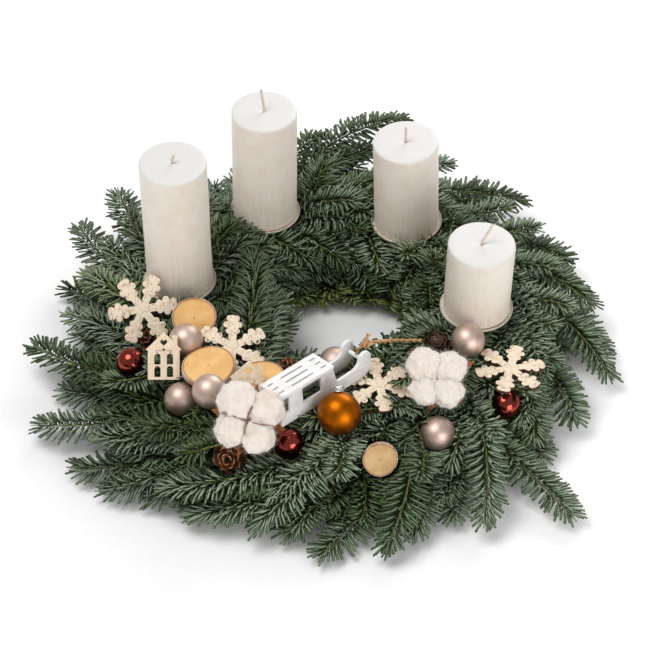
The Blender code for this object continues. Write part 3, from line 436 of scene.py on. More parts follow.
# Braided cotton wick, dipped in wax: off-white threads about 0.5 mm across
WICK = Grained("waxed cotton wick", 0.15, "#bfa892", "#ece0d2", 0.5, (1.0, 1.0, 2.0), Coordinates.FRAME,
               (0.6, 0.85))
# Pressed steel candle plate, enamelled cream, with dried wax on its rim
ENAMEL = Grained("cream enamelled steel", 0.06, "#cfc5b2", "#ece5d6", 2.0, roughness=(0.22, 0.45),
                 fixed={"Coat Weight": 0.25, "Coat Roughness": 0.1})
ROSE_SATIN = Lacquer("rose satin lacquered glass", 0.02, "#dcc4b7", "#a9877a", (0.47, 0.52), 0.92)
MAROON_GLOSS = Lacquer("maroon gloss lacquered glass", 0.01, "#9a463b", "#742c22", (0.09, 0.13))
AMBER_SATIN = Lacquer("amber satin lacquered glass", 0.02, "#b4620b", "#5a2a05", (0.38, 0.44), 1.0)
# Drawn tin ornament cap, silver-coloured, with fine flutes
TIN = Grained("silvered tin", 0.05, "#b9b9b6", "#ecebe6", 0.7, roughness=(0.2, 0.4), fixed={"Metallic": 1.0})
WHITEWASH = Whitewash("lime-washed plywood", 0.3)
# The edge of laser-cut plywood: charred brown, darker in its glue line
CHARRED = Grained("laser-charred edge", 0.15, "#2f1c10", "#6b4526", 0.7, (1.0, 1.0, 0.4),
                  roughness=(0.7, 0.9))
# Sanded poplar plywood: pale cream pink with a faint upright grain
PLYWOOD = Grained("sanded poplar plywood", 0.08, "#ead0b2", "#f2dec6", 1.0, (1.0, 9.0, 1.0),
                  roughness=(0.6, 0.75))
SAWN_WOOD = SawnWood("sawn birch", 0.08)
OLD_WOOD = SawnWood("weathered sawn birch", 0.08, "#dab581", "#b78a54")
# Young birch bark: papery, whitish brown with short cross lines
BARK = Grained("thin birch bark", 0.35, "#9c6f52", "#e2cab5", 1.3, (1.0, 1.0, 0.4), roughness=(0.7, 0.9))
PINE_SCALES = ConeScales("open pine cone scales", 0.2)
LARCH_SCALES = ConeScales("weathered larch cone scales", 0.2, "#120a07", "#3a271b", "#6f5340")
# Raw cotton lint: matt white fibre pulled into soft tufts
LINT = Grained("raw cotton lint", 0.08, "#d9c9bc", "#eae0d6", 14.0, coordinates=Coordinates.FRAME,
               roughness=(0.9, 1.0), contrast=(0.3, 0.55),
               fixed={"Subsurface Weight": 0.35, "Subsurface Radius": (1.0, 0.82, 0.72),
                      "Subsurface Scale": 0.006, "Sheen Weight": 0.25, "Sheen Roughness": 0.6})
# A dried cotton boll's wall: thin, orange-brown and veined towards its points
BOLL = Grained("dried cotton boll", 0.3, "#5a2c14", "#bf7a3c", 1.2, (1.0, 5.0, 1.0), roughness=(0.5, 0.8))
# The inner walls of the boll: papery and darker
SEAM = Grained("dried boll seam", 0.1, "#4a200e", "#a8622f", 2.0, roughness=(0.6, 0.85))
# Water-based white paint on birch plywood, brushed along the board and thin on its edges
WHITE_PAINT = Grained("white painted plywood", 0.06, "#e2e1df", "#f6f6f5", 1.6, (8.0, 1.0, 1.0),
                      roughness=(0.38, 0.55))
# Two-ply jute twine: hairy tan strands
JUTE = Grained("two-ply jute", 0.35, "#a5744a", "#e8bf8d", 0.7, coordinates=Coordinates.FRAME,
               roughness=(0.85, 1.0))


# Meshes


def frame_at(centre: Sequence[float], facing: Sequence[float], turn: float = 0.0) -> Matrix:
    """The placing in millimetres whose z axis is the facing direction and whose y axis climbs.

    Args:
        centre: Where the piece's own origin goes.
        facing: Where its z axis points.
        turn: Degrees about that axis.

    Returns:
        A 4 by 4 matrix.
    """
    z = Vector(facing).normalized()
    y = (Vector((0, 0, 1)) - z * z.z).normalized()
    axes = Matrix((y.cross(z), y, z)).transposed().to_4x4()
    return Matrix.Translation(Vector(centre)) @ axes @ Matrix.Rotation(math.radians(turn), 4, "Z")


def on_ring(azimuth: float, angle: float, distance: float) -> Vector:
    """The point at a distance from the ring's centre line."""
    a, s = math.radians(azimuth), math.radians(angle)
    reach = RING_RADIUS + distance * math.cos(s)
    return Vector((reach * math.cos(a), reach * math.sin(a), RING_HEIGHT + distance * math.sin(s)))


def keep_own(shape: Shape) -> None:
    """Keeps each point's place in the piece's own axes, for the finishes to read."""
    layer = shape.verts.layers.float_vector.get("own") or shape.verts.layers.float_vector.new("own")
    for v in shape.verts:
        v[layer] = v.co


def piece_of(name: str, shape: Shape, finishes: Sequence[Finish], placing: Matrix | None = None,
             nodes: Sequence[str] = (), sharp: float = 40.0) -> bpy.types.Object:
    """A finished piece from a bmesh in millimetres, in its place in the row frame.

    Args:
        name: The piece's name.
        shape: Its mesh in its own axes, freed here.
        finishes: One finish for each material number.
        placing: Where it goes, in millimetres.
        nodes: The CAD nodes that it stands for.
        sharp: Edges that turn by more degrees than this stay sharp.

    Returns:
        The object, which rides on the one body.
    """
    if placing:
        shape.transform(placing)
    bmesh.ops.scale(shape, vec=(MM, MM, MM), verts=shape.verts)
    mesh = bpy.data.meshes.new(name)
    shape.to_mesh(mesh)
    shape.free()
    for finish in finishes:
        mesh.materials.append(finish.material())
    mesh.shade_smooth()
    mesh.set_sharp_from_angle(angle=math.radians(sharp))
    return shown(name, mesh, nodes)


def shown(name: str, mesh: bpy.types.Mesh, nodes: Sequence[str] = ()) -> bpy.types.Object:
    """Puts a mesh in the scene as a piece that rides on the root body and stands for CAD nodes.

    Args:
        name: The piece's name.
        mesh: Its finished mesh.
        nodes: The CAD nodes that it stands for.

    Returns:
        The piece.
    """
    obj = bpy.data.objects.new(name, mesh)
    bpy.context.scene.collection.objects.link(obj)
    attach(obj, "root")
    if nodes:
        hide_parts(*nodes)
    return obj


def lathe(profile: Sequence[tuple[float, float]], sides: int,
          shift: Callable[[float, float, float], float] | None = None) -> Shape:
    """A closed solid of revolution.

    Args:
        profile: Radius and height of each point, from the axis at one end to the axis at the other.
        sides: How many faces go round.
        shift: Adds to the radius at a radius, height and angle.

    Returns:
        A bmesh in millimetres.
    """
    shape = bmesh.new()
    rings = []
    for r, z in profile:
        if r < 1e-6:
            rings.append([shape.verts.new((0, 0, z))])
            continue
        ring = []
        for k in range(sides):
            a = 2 * math.pi * k / sides
            reach = r + (shift(r, z, a) if shift else 0.0)
            ring.append(shape.verts.new((reach * math.cos(a), reach * math.sin(a), z)))
        rings.append(ring)
    for near, far in zip(rings, rings[1:]):
        for k in range(sides):
            j = (k + 1) % sides
            loop = (near[k % len(near)], near[j % len(near)], far[j % len(far)], far[k % len(far)])
            corners = list(dict.fromkeys(loop))
            if len(corners) > 2:
                shape.faces.new(corners)
    bmesh.ops.recalc_face_normals(shape, faces=shape.faces)
    keep_own(shape)
    return shape


def board(outlines: Sequence[Outline], thickness: float, rounding: float) -> Shape:
    """A board cut from outlines: the first is its edge and the others are cut out of it.

    Args:
        outlines: Closed outlines in the board's own plane.
        thickness: Across z, with z = 0 in its middle.
        rounding: The radius of its rounded edges.

    Returns:
        A bmesh in millimetres whose edge faces have material number 1.
    """
    curve = bpy.data.curves.new("board", "CURVE")
    curve.dimensions = "2D"
    curve.fill_mode = "BOTH"
    curve.extrude = thickness / 2 - rounding
    curve.bevel_depth = rounding
    curve.bevel_resolution = 1
    curve.offset = -rounding
    for outline in outlines:
        spline = curve.splines.new("POLY")
        spline.points.add(len(outline) - 1)
        spline.use_cyclic_u = True
        for point, (x, y) in zip(spline.points, outline):
            point.co = (x, y, 0, 1)
    obj = bpy.data.objects.new("board", curve)
    shape = bmesh.new()
    shape.from_mesh(bpy.data.meshes.new_from_object(obj))
    bpy.data.objects.remove(obj)
    bpy.data.curves.remove(curve)
    bmesh.ops.remove_doubles(shape, verts=shape.verts, dist=1e-3)
    bmesh.ops.recalc_face_normals(shape, faces=shape.faces)
    for face in shape.faces:
        face.material_index = 0 if abs(face.normal.z) > 0.5 else 1
    keep_own(shape)
    return shape


def sweep(points: Sequence[Vector], section: Callable[[float], Outline]) -> Shape:
    """A closed tube along points, whose section may change and turn on the way.

    Args:
        points: The line that the tube follows.
        section: The section's outline at a length along the line.

    Returns:
        A bmesh in millimetres.
    """
    shape = bmesh.new()
    rings, length = [], 0.0
    across = Vector((0, 0, 1))
    for index, point in enumerate(points):
        ahead = points[min(index + 1, len(points) - 1)] - points[max(index - 1, 0)]
        forward = ahead.normalized()
        across = (across - forward * across.dot(forward)).normalized()
        side = forward.cross(across)
        if index:
            length += (point - points[index - 1]).length
        rings.append([shape.verts.new(point + across * x + side * y) for x, y in section(length)])
    for near, far in zip(rings, rings[1:]):
        for k in range(len(near)):
            j = (k + 1) % len(near)
            shape.faces.new((near[k], near[j], far[j], far[k]))
    shape.faces.new(rings[0])
    shape.faces.new(rings[-1])
    bmesh.ops.recalc_face_normals(shape, faces=shape.faces)
    keep_own(shape)
    return shape


def round_section(radius: float, sides: int) -> Outline:
    """The outline of a round section."""
    turns = [2 * math.pi * k / sides for k in range(sides)]
    return [(radius * math.cos(a), radius * math.sin(a)) for a in turns]


def smooth_route(points: Sequence[Point], count: int) -> list[Vector]:
    """Evenly spaced points along a Catmull-Rom curve through the given ones.

    Args:
        points: The points that the curve goes through.
        count: How many points to return.

    Returns:
        The points, from first to last.
    """
    held = [Vector(p) for p in points]
    ends = [held[0] * 2 - held[1], *held, held[-1] * 2 - held[-2]]
    fine = []
    for a, b, c, d in zip(ends, ends[1:], ends[2:], ends[3:]):
        for t in np.linspace(0, 1, 20, endpoint=False):
            fine.append(((2 * b) + (c - a) * t + (2 * a - 5 * b + 4 * c - d) * t**2
                         + (3 * b - 3 * c + d - a) * t**3) / 2)
    fine.append(held[-1])
    lengths = np.cumsum([0] + [(q - p).length for p, q in zip(fine, fine[1:])])
    wanted = np.linspace(0, lengths[-1], count)
    return [Vector([np.interp(w, lengths, [p[k] for p in fine]) for k in range(3)]) for w in wanted]


def baked(tree: Tree, source: bpy.types.Mesh, values: dict[str, Any]) -> bpy.types.Mesh:
    """Runs a Geometry Nodes tree on a mesh and keeps the result as a plain mesh.

    Args:
        tree: The tree, whose first input is the geometry.
        source: What goes into it.
        values: The tree's other inputs by name.

    Returns:
        The plain mesh.
    """
    holder = bpy.data.objects.new("holder", source)
    bpy.context.scene.collection.objects.link(holder)
    step = holder.modifiers.new("grow", "NODES")
    step.node_group = tree
    for item in tree.interface.items_tree:
        if item.in_out == "INPUT" and item.name in values:
            step[item.identifier] = values[item.name]
    bpy.context.view_layer.update()
    graph = bpy.context.evaluated_depsgraph_get()
    mesh = bpy.data.meshes.new_from_object(holder.evaluated_get(graph), preserve_all_data_layers=True,
                                           depsgraph=graph)
    bpy.data.objects.remove(holder)
    return mesh


def new_tree(name: str, inputs: dict[str, str]) -> Tree:
    """A Geometry Nodes tree with named inputs after its geometry.

    Args:
        name: The tree's name.
        inputs: Each input's name and kind of socket, without its prefix.

    Returns:
        The tree.
    """
    tree = bpy.data.node_groups.new(name, "GeometryNodeTree")
    tree.interface.new_socket("Geometry", in_out="INPUT", socket_type="NodeSocketGeometry")
    for title, kind in inputs.items():
        tree.interface.new_socket(title, in_out="INPUT", socket_type=f"NodeSocket{kind}")
    tree.interface.new_socket("Geometry", in_out="OUTPUT", socket_type="NodeSocketGeometry")
    return tree


def join(whole: Shape, part: Shape) -> None:
    """Adds a part to a mesh and frees the part."""
    held = bpy.data.meshes.new("part")
    part.to_mesh(held)
    part.free()
    whole.from_mesh(held)


def hidden_part(name: str, shape: Shape) -> bpy.types.Object:
    """A shape for a tree to repeat, which isn't in the scene itself."""
    mesh = bpy.data.meshes.new(name)
    shape.to_mesh(mesh)
    shape.free()
    mesh.shade_smooth()
    return bpy.data.objects.new(name, mesh)


# Camera, floor and light


@dataclass(frozen=True)
class Softbox:
    """One studio lamp: the way to it from the wreath, how far off it stands, its size and its power."""

    name: str
    way: Point
    distance: float
    size: tuple[float, float]
    power: float
    disc: bool = False

    def place(self) -> None:
        """Hangs the lamp, aimed at the wreath."""
        lamp = bpy.data.lights.new(self.name, "AREA")
        lamp.shape = "DISK" if self.disc else "RECTANGLE"
        lamp.size, lamp.size_y = self.size
        lamp.energy = self.power
        obj = bpy.data.objects.new(self.name, lamp)
        bpy.context.scene.collection.objects.link(obj)
        way = Vector(self.way).normalized()
        obj.location = way * self.distance
        obj.rotation_mode = "QUATERNION"
        obj.rotation_quaternion = way.to_track_quat("Z", "Y")
        obj.visible_camera = False


@dataclass
class Studio:
    """The camera of the photograph, a plain floor and the lamps."""

    lens: float = 133.2
    sensor: float = 36.0
    sight: float = 50.0
    camera_place: Point = (-0.0021, -1.598, 1.5595)
    camera_tilt: float = 46.22
    floor_size: float = 6.0
    ambient: float = 0.44
    lamps: tuple[Softbox, ...] = (
        Softbox("upper left softbox", (-0.34, -0.10, 0.92), 3.0, (1.9, 1.9), 48.0, True),
        Softbox("low front softbox", (0.46, -0.86, 0.24), 1.7, (0.95, 0.95), 11.0),
        Softbox("back softbox", (0.35, 0.75, 0.56), 1.6, (1.0, 0.7), 10.0),
    )

    def camera(self) -> None:
        """Sets the camera where the four candles say that it stood."""
        data = bpy.data.cameras.new("camera")
        data.lens = self.lens
        data.sensor_width = self.sensor
        data.clip_end = self.sight
        obj = bpy.data.objects.new("camera", data)
        bpy.context.scene.collection.objects.link(obj)
        obj.location = self.camera_place
        obj.rotation_euler = (math.radians(self.camera_tilt), 0, 0)
        bpy.context.scene.camera = obj

    def floor(self) -> None:
        """Lays a pale paper floor under the wreath."""
        shape = bmesh.new()
        bmesh.ops.create_grid(shape, x_segments=4, y_segments=4, size=self.floor_size / 2)
        mesh = bpy.data.meshes.new("floor")
        shape.to_mesh(mesh)
        shape.free()
        paper = Grained("white paper floor", 0.02, "#fbfbfb", "#fefefe", 4.0, coordinates=Coordinates.FRAME,
                        roughness=(0.9, 1.0), fixed={"Specular IOR Level": 0.0})
        mesh.materials.append(paper.material())
        obj = bpy.data.objects.new("floor", mesh)
        bpy.context.scene.collection.objects.link(obj)

    def light(self) -> None:
        """Hangs the lamps in a softly lit room."""
        world = bpy.data.worlds.new("studio")
        world.use_nodes = True
        background = world.node_tree.nodes["Background"]
        background.inputs["Color"].default_value = linear("#fbfbfb")
        background.inputs["Strength"].default_value = self.ambient
        bpy.context.scene.world = world
        for lamp in self.lamps:
            lamp.place()
        bpy.context.scene.view_settings.view_transform = "Standard"

    def build(self) -> None:
        """Sets up all of it."""
        self.camera()
        self.floor()
        self.light()


# The cord


@dataclass
class PullCord:
    """The jute cord from the sledge's dowel to the small dark cone, its knot and the cut end."""

    diameter: float = 3.0
    ply_radius: float = 0.94
    ply_spread: float = 1.15
    ply_wander: float = 0.45
    twist: float = 12.0
    route: tuple[Point, ...] = (
        (25.3, -90.5, 80.4),
        (28.0, -89.5, 86.3),
        (33.5, -87.5, 89.5),
        (44.0, -82.5, 87.0),
        (57.0, -76.5, 82.0),
        (70.0, -71.0, 77.0),
        (83.6, -67.0, 73.0),
    )
    stops: int = 36
    knot_stop: int = 7
    knot_length: float = 5.0
    knot_radius: float = 2.4
    knot_points: int = 48
    points_a_turn: int = 20

    def ply(self, route: Sequence[Vector], start: float) -> list[Vector]:
        """The line of one ply, which winds round the cord's line more and less tightly.

        Args:
            route: The cord's line.
            start: The ply's angle at its start, in radians.

        Returns:
            The points of the ply's line.
        """
        side = (route[1] - route[0]).orthogonal().normalized()
        gone, points = 0.0, []
        for k, point in enumerate(route):
            ahead = (route[min(k + 1, len(route) - 1)] - route[max(k - 1, 0)]).normalized()
            side = (side - ahead * side.dot(ahead)).normalized()
            gone += (point - route[max(k - 1, 0)]).length
            a = start + 2 * math.pi * gone / self.twist
            off = self.ply_radius * (self.ply_spread + self.ply_wander * noise.noise(point * 0.12))
            points.append(point + (side * math.cos(a) + ahead.cross(side) * math.sin(a)) * off)
        return points

    def strand(self, name: str, route: Sequence[Vector], nodes: Sequence[str] = ()) -> bpy.types.Object:
        """A length of twine along a line.

        Args:
            name: The piece's name.
            route: The line that it follows, in millimetres.
            nodes: The CAD nodes that it stands for.

        Returns:
            The piece.
        """
        shape = bmesh.new()
        for start in (0.0, math.pi):
            join(shape, sweep(self.ply(route, start), lambda along: round_section(self.ply_radius, 8)))
        return piece_of(name, shape, [JUTE], nodes=nodes, sharp=80)

    def build(self) -> None:
        line = smooth_route(self.route, self.stops)
        fine = smooth_route(self.route, self.stops * 3)
        cord = self.strand("pull_cord_jute", fine, ["pull_cord"])
        knot_at = line[self.knot_stop]
        forward = (line[self.knot_stop + 1] - line[self.knot_stop - 1]).normalized()
        side = forward.cross(Vector((0, 0, 1))).normalized()
        up = side.cross(forward)
        wraps = []
        for k in range(self.knot_points + 1):
            a = 2 * math.pi * k / self.points_a_turn
            out = self.knot_radius + 0.3 * math.sin(a * 2.5)
            wraps.append(knot_at + forward * (k / self.knot_points - 0.5) * self.knot_length
                         + (side * math.cos(a) + up * math.sin(a)) * out)
        knot = self.strand("pull_cord_knot", wraps)
        tail_route = [knot_at + up * 1.0, knot_at + up * 5.0 - forward * 1.0,
                      knot_at + up * 8.0 + forward * 1.0, knot_at + up * 10.5 + forward * 2.5]
        tail = self.strand("pull_cord_end", smooth_route([tuple(p) for p in tail_route], 20))


# Candles


@dataclass(frozen=True)
class CandleSpec:
    """One pillar candle: the foot of its axis, its height, its lean and the bend of its wick."""

    name: str
    x: float
    y: float
    height: float
    lean: tuple[float, float]
    wick_bend: Point


@dataclass
class Candles:
    """Four pillar candles of stepped height on spiked plates."""

    radius: float = 30.0
    foot: float = 67.6
    socket: float = 6.0
    bore: float = 1.35
    wick_radius: float = 1.28
    plate_radius: float = 33.0
    plate_gap: float = 0.3
    specs: tuple[CandleSpec, ...] = (
        CandleSpec("left", -134.5, 18.0, 140.0, (-0.007, 0.003), (1.5, -1.0, 9.0)),
        CandleSpec("back_left", -58.7, 114.2, 120.0, (0.011, 0.009), (-3.0, 4.0, 21.0)),
        CandleSpec("back_right", 74.4, 99.8, 98.0, (-0.031, -0.015), (0.4, -0.5, 17.0)),
        CandleSpec("right", 134.5, -17.9, 77.0, (0.023, 0.001), (8.5, 4.0, 19.0)),
    )

    def placing(self, spec: CandleSpec, height: float = 0.0) -> Matrix:
        """Where a candle stands, or a height up its axis.

        Args:
            spec: The candle.
            height: How far up its axis.

        Returns:
            The placing of its own axes.
        """
        up = Vector((spec.lean[0], spec.lean[1], 1.0)).normalized()
        x = Vector((1, 0, -up.x / up.z)).normalized()
        axes = Matrix((x, up.cross(x), up)).transposed().to_4x4()
        return Matrix.Translation(Vector((spec.x, spec.y, self.foot)) + up * height) @ axes

    def wax(self, spec: CandleSpec, index: int) -> None:
        """The candle's body, with soft edges, an uneven side and a dimple round its wick.

        Args:
            spec: The candle.
            index: Its number, which sets the pattern of its side.
        """
        r, h, bore = self.radius, spec.height, self.bore
        top = [(0.0, h - self.socket), (bore, h - self.socket), (bore, h - 0.9), (2.2, h - 0.55),
               (4.5, h - 0.2), (9.0, h - 0.05), (16.0, h), (23.0, h), (r - 2.4, h), (r - 1.2, h - 0.25),
               (r - 0.35, h - 0.9), (r, h - 2.0)]
        side = [(r, z) for z in np.linspace(h - 4.0, 2.5, max(12, round(h / 4)))]
        foot = [(r - 0.3, 1.0), (r - 1.0, 0.2), (r - 2.5, 0.0), (1.9, 0.0), (1.9, 20.9), (0.0, 21.0)]

        def uneven(radius: float, z: float, a: float) -> float:
            """Slow waves and small pits on the side, none near the axis."""
            if radius < r - 3:
                return 0.0
            spot = Vector((math.cos(a) * 2.2, math.sin(a) * 2.2, z / 34 + index * 7.0))
            fine = Vector((math.cos(a) * 9.0, math.sin(a) * 9.0, z / 12 + index * 5.0))
            return 0.22 * noise.noise(spot) + 0.13 * noise.noise(fine)

        finish = Wax(f"frosted pillar wax {index}", 0.22, height=h)
        shape = lathe([*top, *side, *foot], 96, uneven)
        piece_of(f"candle_{spec.name}_wax", shape, [finish], self.placing(spec), [f"candle_{spec.name}"],
                 60)

    def wick(self, spec: CandleSpec) -> None:
        """A braided wick of three strands, bent as the photograph shows.

        Args:
            spec: The candle that it stands in.
        """
        top, bend = self.placing(spec, spec.height), Vector(spec.wick_bend)
        marks = [Vector((0, 0, 0.4 - self.socket)), Vector((0, 0, 1)), bend * 0.35 + Vector((0, 0, 1)),
                 bend * 0.75, bend]
        line = smooth_route([tuple(top @ p) for p in marks], 60)

        def braid(along: float) -> Outline:
            """Three strands that wind round each other."""
            turn = along * 1.1
            outline = []
            for k in range(12):
                a = 2 * math.pi * k / 12
                reach = self.wick_radius * (0.9 + 0.13 * math.cos(3 * (a + turn)))
                outline.append((reach * math.cos(a), reach * math.sin(a)))
            return outline

        piece_of(f"wick_{spec.name}_braid", sweep(line, braid), [WICK], nodes=[f"wick_{spec.name}"],
                 sharp=70)

    def plate(self, spec: CandleSpec) -> None:
        """A pressed plate with a rolled rim, a pin on top and a spike below.

        Args:
            spec: The candle that stands on it.
        """
        r = self.plate_radius
        rim = [(r - 2.2, 0.0), (r - 1.2, 0.35), (r - 0.7, 1.3), (r - 0.3, 2.1), (r, 2.2), (r + 0.15, 1.7),
               (r - 0.1, 0.5), (r - 0.9, -0.6), (r - 2.0, -1.0)]
        profile = [(0.0, 20.0), (0.6, 18.6), (1.5, 16.0), (1.5, 0.0), (12.0, 0.0), *rim, (12.0, -1.0),
                   (1.5, -1.0), (1.5, -24.0), (0.6, -28.4), (0.0, -30.0)]
        piece_of(f"candle_plate_{spec.name}_enamel", lathe(profile, 72), [ENAMEL],
                 self.placing(spec, -self.plate_gap), [f"candle_plate_{spec.name}"], 50)

    def build(self) -> None:
        """Makes all four."""
        for index, spec in enumerate(self.specs):
            self.wax(spec, index)
            self.wick(spec)
            self.plate(spec)


# Baubles


@dataclass
class Baubles:
    """Small glass balls, each with its neck turned down into the foliage, and a large one with a cap."""

    pink_radius: float = 15.2
    red_radius: float = 13.4
    amber_radius: float = 19.0
    pink: tuple[Point, ...] = (
        (-125.1, -70.6, 77.1),
        (-128.0, -120.3, 53.4),
        (-102.0, -137.6, 80.8),
        (7.2, -73.5, 51.2),
        (124.7, -68.1, 75.0),
        (95.5, -156.2, 48.0),
    )
    red: tuple[Point, ...] = (
        (-175.4, -70.5, 50.0),
        (-33.2, -171.2, 51.4),
        (157.5, -115.1, 42.0),
    )
    amber: Point = (10.0, -157.4, 74.0)
    cap_facing: Point = (0.0, 0.60, 0.80)
    neck: Point = (0.1, 0.62, -0.78)
    neck_share: float = 0.19

    def ball(self, name: str, centre: Point, radius: float, finish: Finish,
             neck: Point) -> None:
        """A blown ball whose glass draws out to a short neck.

        Args:
            name: The CAD node that it stands for.
            centre: The ball's middle.
            radius: The ball's radius.
            finish: Its lacquer.
            neck: The way that its neck points.
        """
        turns = np.linspace(-90, 78, 40)
        profile = [(radius * math.cos(math.radians(t)), radius * math.sin(math.radians(t))) for t in turns]
        profile[0] = (0.0, -radius)
        throat, end = radius * self.neck_share, radius * 1.04
        profile += [(throat, radius), (throat, end), (0.0, end)]
        piece_of(f"{name}_glass", lathe(profile, 56), [finish], frame_at(centre, neck), [name], 50)

    def cap(self) -> None:
        """The large ball's fluted cap."""
        away = Vector(self.cap_facing).normalized()
        foot = Vector(self.amber) + away * (self.amber_radius + 0.3)
        profile = [(0.0, 5.0), (2.4, 5.0), (3.4, 4.7), (4.1, 4.0), (4.2, 3.0), (4.2, 0.6), (4.5, 0.0),
                   (0.0, 0.0)]

        def flute(radius: float, z: float, a: float) -> float:
            """Fine upright flutes on the cap's side."""
            return 0.12 * math.cos(24 * a) if radius > 4.0 and z > 0.3 else 0.0

        piece_of("bauble_amber_cap_tin", lathe(profile, 96, flute), [TIN], frame_at(foot, away),
                 ["bauble_amber_cap"], 50)

    def build(self) -> None:
        """Makes all of them."""
        for k, centre in enumerate(self.pink, 1):
            self.ball(f"bauble_pink_{k}", centre, self.pink_radius, ROSE_SATIN, self.neck)
        for k, centre in enumerate(self.red, 1):
            self.ball(f"bauble_red_{k}", centre, self.red_radius, MAROON_GLOSS, self.neck)
        self.ball("bauble_amber", self.amber, self.amber_radius, AMBER_SATIN, self.cap_facing)
        self.cap()


# Wooden figures


@dataclass(frozen=True)
class Placed:
    """Where a piece of trim lies: its centre, the way it faces and its turn about that."""

    centre: Point
    facing: Point
    turn: float

    def placing(self) -> Matrix:
        """The placing of its own axes."""
        return frame_at(self.centre, self.facing, self.turn)


@dataclass
class Snowflakes:
    """Lime-washed plywood snowflakes whose arms carry rounded lobes."""

    radius: float = 32.0
    thickness: float = 3.0
    stalk: float = 0.115
    blade: float = 0.140
    lobes: tuple[tuple[float, float, float], ...] = (
        (0.49, 0.110, 0.090),
        (0.69, 0.170, 0.100),
        (0.89, 0.085, 0.108),
    )
    specs: tuple[Placed, ...] = (
        Placed((-165.5, -29.4, 76.2), (-0.10, -0.72, 0.69), 14.0),
        Placed((-84.4, -73.1, 70.9), (0.05, -0.30, 0.95), 20.0),
        Placed((45.5, -112.5, 62.8), (-0.02, -0.05, 1.0), 2.0),
        Placed((161.3, -92.1, 62.2), (0.06, 0.06, 1.0), 0.0),
    )

    def half_width(self, u: float) -> float:
        """Half the arm's width at a share of its length: the stalk, or a lobe that stands past it.

        Args:
            u: The share of the arm's length.

        Returns:
            The half width, as a share of the flake's radius.
        """
        wide = 0.0 if u > 0.95 else self.blade if u > 0.42 else self.stalk
        for middle, off, size in self.lobes:
            if abs(u - middle) < size:
                wide = max(wide, off + math.sqrt(size**2 - (u - middle) ** 2))
        return wide

    def outline(self) -> Outline:
        """The edge of one flake."""
        start = self.stalk / math.tan(math.radians(30))
        steps = sorted({start, *np.linspace(start, 0.9995, 44)})
        points = []
        for k in range(6):
            c, s = math.cos(math.radians(60 * k)), math.sin(math.radians(60 * k))
            near = [(u, -self.half_width(u)) for u in steps]
            arm = near + [(u, -w) for u, w in reversed(near)]
            if k:
                arm = arm[1:]
            points += [(self.radius * (u * c - w * s), self.radius * (u * s + w * c)) for u, w in arm]
        return points[:-1]

    def build(self) -> None:
        """Makes all four."""
        for k, spec in enumerate(self.specs, 1):
            shape = board([self.outline()], self.thickness, 0.35)
            piece_of(f"snowflake_{k}_limewash", shape, [WHITEWASH, CHARRED], spec.placing(),
                     [f"snowflake_{k}"], 35)


